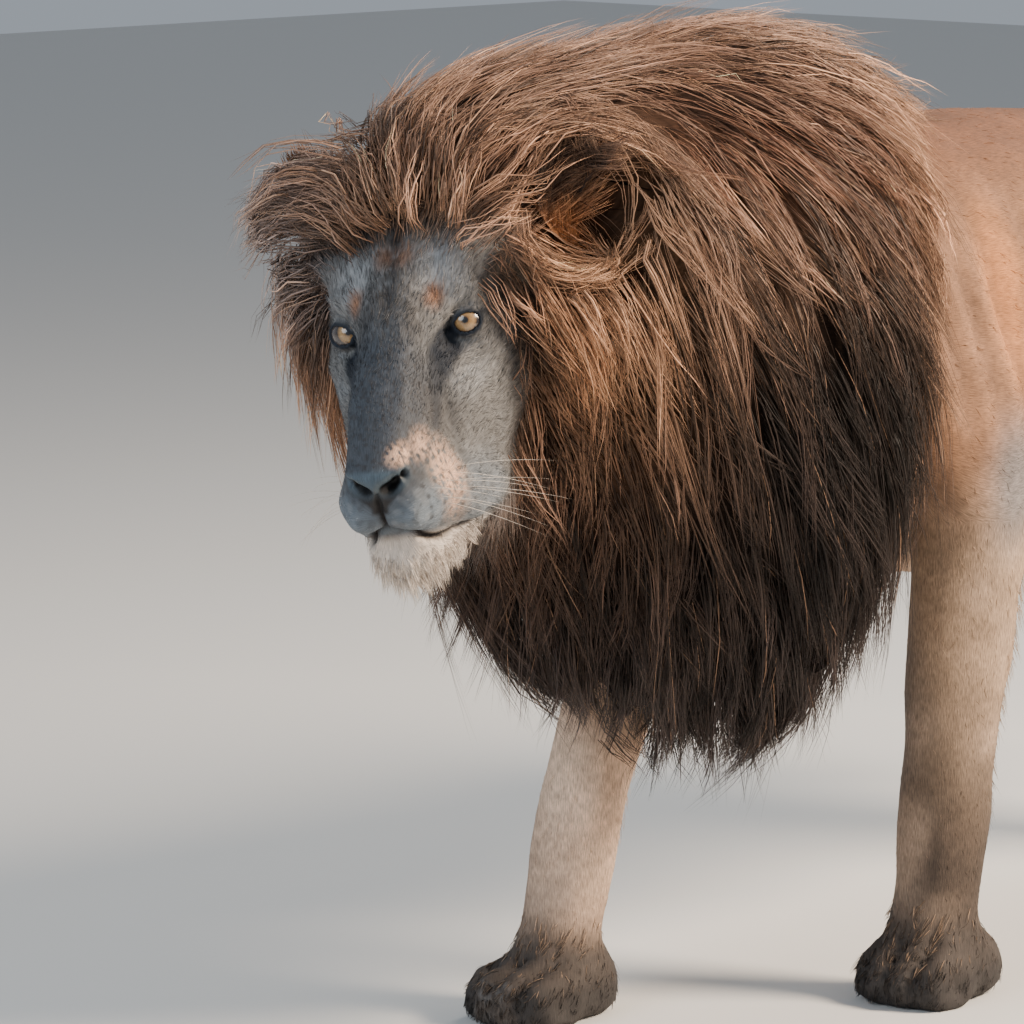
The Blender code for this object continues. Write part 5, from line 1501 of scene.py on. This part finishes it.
def make_whiskers(skin):
    """Stiff pale whiskers from the rows of spots on both pads."""
    tree = tree_of(skin.points, skin.triangles)
    paths, out = [], []
    for side in (1, -1):
        for row in range(3):
            for column in range(5):
                if (row + column) % 3 == 2:
                    continue
                at = (side * 0.055, -0.164 + 0.0165 * column, -0.102 - 0.0115 * row - 0.0025 * column)
                root, normal, _, _ = tree.find_nearest(Vector(from_head([at])[0]))
                way = unit(np.array([side * 0.80, 0.42 + 0.05 * column, -0.16 - 0.12 * row]))
                way = unit(turned_from_head(way[None])[0] + rng.normal(0, 0.06, 3))
                t = np.linspace(0, 1, 8)[:, None]
                long = rng.uniform(0.07, 0.13)
                bend = turned_from_head(np.array([[0.0, 0.30, -0.32]]))[0] * rng.uniform(0.5, 1.2)
                paths.append(np.array(root) + (way * t + bend * t**2) * long)
                out.append(np.array(normal))
    paths, out = np.array(paths), np.array(out)
    tints = np.tile(np.array([0.62, 0.56, 0.50]), (len(paths), 8, 1))
    widths = np.full(len(paths), 0.0007)
    spots = unwrap(paths[:, 0], chart_of(paths[:, 0]))
    solid_tufts("whiskers", paths, out, widths, tints, spots, hair_material("whisker", 0.35), (), 1.0)


def make_ear_hair(skin):
    for node, side in zip(EARS, (1, -1)):
        middle = np.array(middle_of(node))
        low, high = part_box(node)
        near = spot(skin.middles, middle, (0.060, 0.055, 0.078), 0.1) * (skin.middles[:, 2] > low.z + 0.004)
        front = turned_from_head(np.array([[side * 0.35, -0.93, 0.0]]))[0]
        inside = near * ease(skin.out @ front, 0.2, 0.7)
        up = turned_from_head(np.array([[side * 0.15, -0.15, 1.0]]))[0]
        long_hair(
            node + "_inside", skin, inside, 420,
            lambda p: 0.020 + 0.022 * rng.random(len(p)),
            0.0011, lambda p, up=up: np.tile(up, (len(p), 1)), 30.0, 0.0,
            lambda ends, roots: roots * 0.5 + np.array(MANE_TAN) * 0.35, 0.6, 4,
        )
        back = near * (1 - ease(skin.out @ front, 0.0, 0.5))
        long_hair(
            node + "_rim", skin, back, 900,
            lambda p: 0.011 + 0.012 * rng.random(len(p)),
            0.0011, lambda p, up=up: np.tile(up, (len(p), 1)), 22.0, 0.0,
            lambda ends, roots: roots * 0.3 + np.array(MANE_GOLD) * 0.75, 0.3, 4,
        )


def make_leg_hair(skin):
    """Longer hair behind the forelegs and under the belly, and dark tufts between the toes."""
    x, y, z = skin.middles.T
    behind = (y < -0.10) * (z > 0.20) * (z < 0.62) * ease(skin.out[:, 1], 0.35, 0.8)
    long_hair(
        "leg_feathers", skin, behind, 1400,
        lambda p: 0.016 + 0.016 * ease(p[:, 2], 0.3, 0.55),
        0.0012, straight_down, 24.0, 0.2, lambda ends, roots: roots * 0.9, 0.6, 4,
    )
    belly = (y > -0.15) * (y < 0.50) * (z < 0.58) * (z > 0.40) * ease(-skin.out[:, 2], 0.3, 0.8)
    long_hair(
        "belly_hair", skin, belly, 1000,
        lambda p: 0.026 + 0.014 * rng.random(len(p)),
        0.0013, lambda p: np.tile(np.array([0.0, 0.7, -0.7]), (len(p), 1)), 20.0, 0.3,
        lambda ends, roots: roots * 1.0, 0.6, 4,
    )
    paws = (z > 0.006) * (1 - ease(z, 0.085, 0.125)) * (0.3 + ease(-skin.out[:, 1], -0.3, 0.5))
    long_hair(
        "paw_hair", skin, paws, 4200,
        lambda p: 0.009 + 0.013 * ease(p[:, 2], 0.015, 0.07) * rng.random(len(p)),
        0.0015, forward_and_down, 17.0, 0.30, paw_tips, 0.75, 4,
    )


def forward_and_down(points):
    way = np.tile(np.array([0.0, -0.75, -0.65]), (len(points), 1))
    return unit(way + np.column_stack([ripple(points, 0.03, 81), ripple(points, 0.03, 82) * 0.4, 0 * points[:, 0]]) * 0.5)


def paw_tips(ends, roots):
    pale = (rng.random(len(roots)) < 0.30)[:, None] * ease(ends[:, 2], 0.02, 0.06)[:, None]
    return roots * 0.9 + (np.array(PAW_STREAK) - roots * 0.9) * pale


# The tuft's line, as shares of its node's box: x, y, z.
TUFT_LINE = [
    (0.34, 0.07, 1.10),  # over the end of the tail's skin
    (0.36, 0.10, 1.00),
    (0.42, 0.30, 0.72),
    (0.50, 0.55, 0.43),
    (0.62, 0.80, 0.16),
    (0.70, 0.93, 0.00),
]
TUFT_OVERLAP = 0.035  # the tuft's hair starts this far above its node
TUFT_LOCKS, TUFT_STRANDS = 90, 9


def make_tail_tuft():
    """The dark lock of hair at the tail's end."""
    low, high = (np.array(corner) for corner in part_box("tail_tuft"))
    line = resampled(low + np.array(TUFT_LINE) * (high - low), 40)
    t = np.linspace(0, 1, MANE_STEPS)
    start = rng.random(TUFT_LOCKS) * 0.55
    end = np.minimum(start + rng.uniform(0.40, 0.60, TUFT_LOCKS), rng.uniform(0.88, 1.0, TUFT_LOCKS))
    at = (start[:, None] + (end - start)[:, None] * t[None]) * (len(line) - 1)
    base = at.astype(int).clip(0, len(line) - 2)
    spine = line[base] + (line[base + 1] - line[base]) * (at - base)[..., None]
    turn = rng.uniform(0, 2 * math.pi, TUFT_LOCKS)
    sideways = np.column_stack([np.cos(turn), np.sin(turn), 0.35 * np.sin(turn)])
    swell = 0.034 * np.sqrt(rng.random(TUFT_LOCKS))
    bulge = np.sin(math.pi * (at / (len(line) - 1)).clip(0, 1)) * swell[:, None] * (0.35 + 0.65 * t[None])
    guides = spine + sideways[:, None] * bulge[..., None]
    wave = np.full(TUFT_LOCKS, 0.002)
    paths, normals, owner = locks(guides, sideways, TUFT_STRANDS, 0.0055, (0.3, 0.95), wave, 0.03)
    paths = np.clip(paths, low - 0.004, high + np.array([0.004, 0.004, TUFT_OVERLAP]))
    tone = np.exp(0.3 * rng.normal(0, 1, len(paths)))
    tints = np.array(MANE_DARK) * tone[:, None, None] * (0.7 + 0.8 * t)[None, :, None]
    widths = strand_widths(len(paths), (0.0012, 0.0024), (0.0026, 0.0040))
    spots = unwrap(paths[:, 0], chart_of(paths[:, 0]))
    material = hair_material("tuft_hair")
    solid_tufts("tail_hair", paths, normals, widths, tints, spots, material, ("tail_tuft",))


# ---------------------------------------------------------------- everything
FINER = (((0, -0.120, -0.085), 0.100), ((0.062, -0.008, 0), 0.027), ((-0.062, -0.008, 0), 0.027))


def dress():
    """The skin, laid under the coat, sculpted, coloured and unwrapped."""
    mesh = make_skin()
    for middle, reach in FINER:
        subdivided(mesh, middle, reach)
    points = points_of(mesh)
    points = points - normals_of(mesh) * (coat_depth(points) + CLOSING)[:, None]
    set_points(mesh, points)
    points = sculpted_body(points, normals_of(mesh))
    set_points(mesh, points)
    marks = {}
    points = sculpted_head(points, normals_of(mesh), triangles_of(mesh), marks)
    points = sculpted_lids(points)
    points[:, 2] = np.maximum(points[:, 2], 0.0004)
    set_points(mesh, points)
    mesh.shade_smooth()
    tints = coat_colour(points, marks)
    write_tint(mesh, tints)
    mesh.attributes.new("wet", "FLOAT", "POINT").data.foreach_set("value", leather(points).astype(np.float32))
    lay_out(mesh)
    skin = link("skin", mesh)
    mesh.materials.append(coat_material("coat", "tint", (900.0, 95.0), 0.8, 0.35, "wet"))
    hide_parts(*FLESH)
    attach(skin, "root")
    return Skin(mesh, tints)


def make_floor():
    work = bmesh.new()
    bmesh.ops.create_grid(work, x_segments=1, y_segments=1, size=14.0)
    mesh = bpy.data.meshes.new("floor")
    work.to_mesh(mesh)
    work.free()
    floor = link("floor", mesh)
    material = bpy.data.materials.new("studio_floor")
    material.use_nodes = True
    shader = material.node_tree.nodes["Principled BSDF"]
    shader.inputs["Base Color"].default_value = (0.62, 0.61, 0.59, 1)
    shader.inputs["Roughness"].default_value = 0.9
    mesh.materials.append(material)


# ---------------------------------------------------------------- light and camera
CAMERA_AZIMUTH, CAMERA_HEIGHT, CAMERA_LENS, CAMERA_AWAY = 44.0, 8.0, 217.0, 6.5
FRAMING = (0.1127, -0.1896)  # from the eyes to the middle of the picture, across and up, metres


def direction(azimuth, elevation):
    a, e = math.radians(azimuth), math.radians(elevation)
    return Vector((math.sin(a) * math.cos(e), -math.cos(a) * math.cos(e), math.sin(e)))


def make_light(name, azimuth, elevation, away, size, power, colour):
    data = bpy.data.lights.new(name, "AREA")
    data.shape = "DISK"
    data.size = size
    data.energy = power
    data.color = colour
    light = bpy.data.objects.new(name, data)
    bpy.context.scene.collection.objects.link(light)
    target = Vector((0, -0.5, 0.7))
    light.location = target + direction(azimuth, elevation) * away
    light.rotation_euler = (light.location - target).to_track_quat("Z", "Y").to_euler()


def make_camera():
    back = direction(CAMERA_AZIMUTH, CAMERA_HEIGHT)
    right = Vector((math.cos(math.radians(CAMERA_AZIMUTH)), math.sin(math.radians(CAMERA_AZIMUTH)), 0))
    up = back.cross(right)
    data = bpy.data.cameras.new("camera")
    data.lens = CAMERA_LENS
    data.sensor_width = 36
    camera = bpy.data.objects.new("camera", data)
    bpy.context.scene.collection.objects.link(camera)
    target = head_origin + right * FRAMING[0] + up * FRAMING[1]
    camera.location = target + back * CAMERA_AWAY
    camera.rotation_euler = back.to_track_quat("Z", "Y").to_euler()
    bpy.context.scene.camera = camera


make_camera()
make_light("key", 122, 33, 4.5, 1.6, 660, (1.0, 0.82, 0.64))
make_light("fill", 0, 25, 5.0, 3.5, 150, (0.80, 0.90, 1.0))
make_light("rim", 190, 45, 4.5, 2.5, 120, (1.0, 0.95, 0.88))
world = bpy.data.worlds.new("studio")
world.use_nodes = True
world.node_tree.nodes["Background"].inputs["Color"].default_value = (0.74, 0.82, 0.92, 1)
world.node_tree.nodes["Background"].inputs["Strength"].default_value = 0.44
bpy.context.scene.world = world
make_floor()
skin = dress()
for eye, side in (("eye_left", 1), ("eye_right", -1)):
    make_eye(eye, side)

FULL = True
bare_edge = np.minimum(lid_edge(skin.middles, 1)[0], lid_edge(skin.middles, -1)[0])
face_area = (1 - ease(skin.local[:, 1], 0.12, 0.16)) * (skin.middles[:, 1] < -0.74)
face_density = face_area * (1 - leather(skin.middles)) * ease(bare_edge, 0.003, 0.008)
face_density *= 1 + 1.5 * (1 - ease(skin.local[:, 1], -0.02, 0.06))
body_density = (1 - face_area) * (skin.middles[:, 2] > 0.006)
body_density *= 1 + 1.2 * (1 - ease(skin.middles[:, 2], 0.15, 0.6))
body_density *= 1 - 0.97 * spot(skin.middles, (0, -0.62, 0.8), (0.3, 0.36, 0.5), 0.2)
if FULL:
    short_coat(
        "face_coat", skin, face_density, 17000,
        lambda p: 0.0045 + 0.0090 * ease(np.linalg.norm(to_head(p) - np.array([0, -0.2, -0.1]), axis=1), 0.04, 0.22),
        lambda p: 0.00085 + 0 * p[:, 0],
        lambda p: 13.0 + 0 * p[:, 0],
        0.30,
    )
    short_coat(
        "body_coat", skin, body_density, 13500,
        lambda p: 0.010 + 0.006 * ease(p[:, 2], 0.2, 0.6),
        lambda p: 0.0011 + 0 * p[:, 0],
        lambda p: 7.0 + 0 * p[:, 0],
        0.10,
    )
    make_face_hair(skin)
    make_whiskers(skin)
    make_ear_hair(skin)
    make_leg_hair(skin)
    make_tail_tuft()
    make_undercoat(skin)
    make_mane()

for piece in bpy.data.objects:
    if piece.type == "MESH" and "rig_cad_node" not in piece:
        print("PIECE", piece.name, sum(len(face.vertices) - 2 for face in piece.data.polygons))
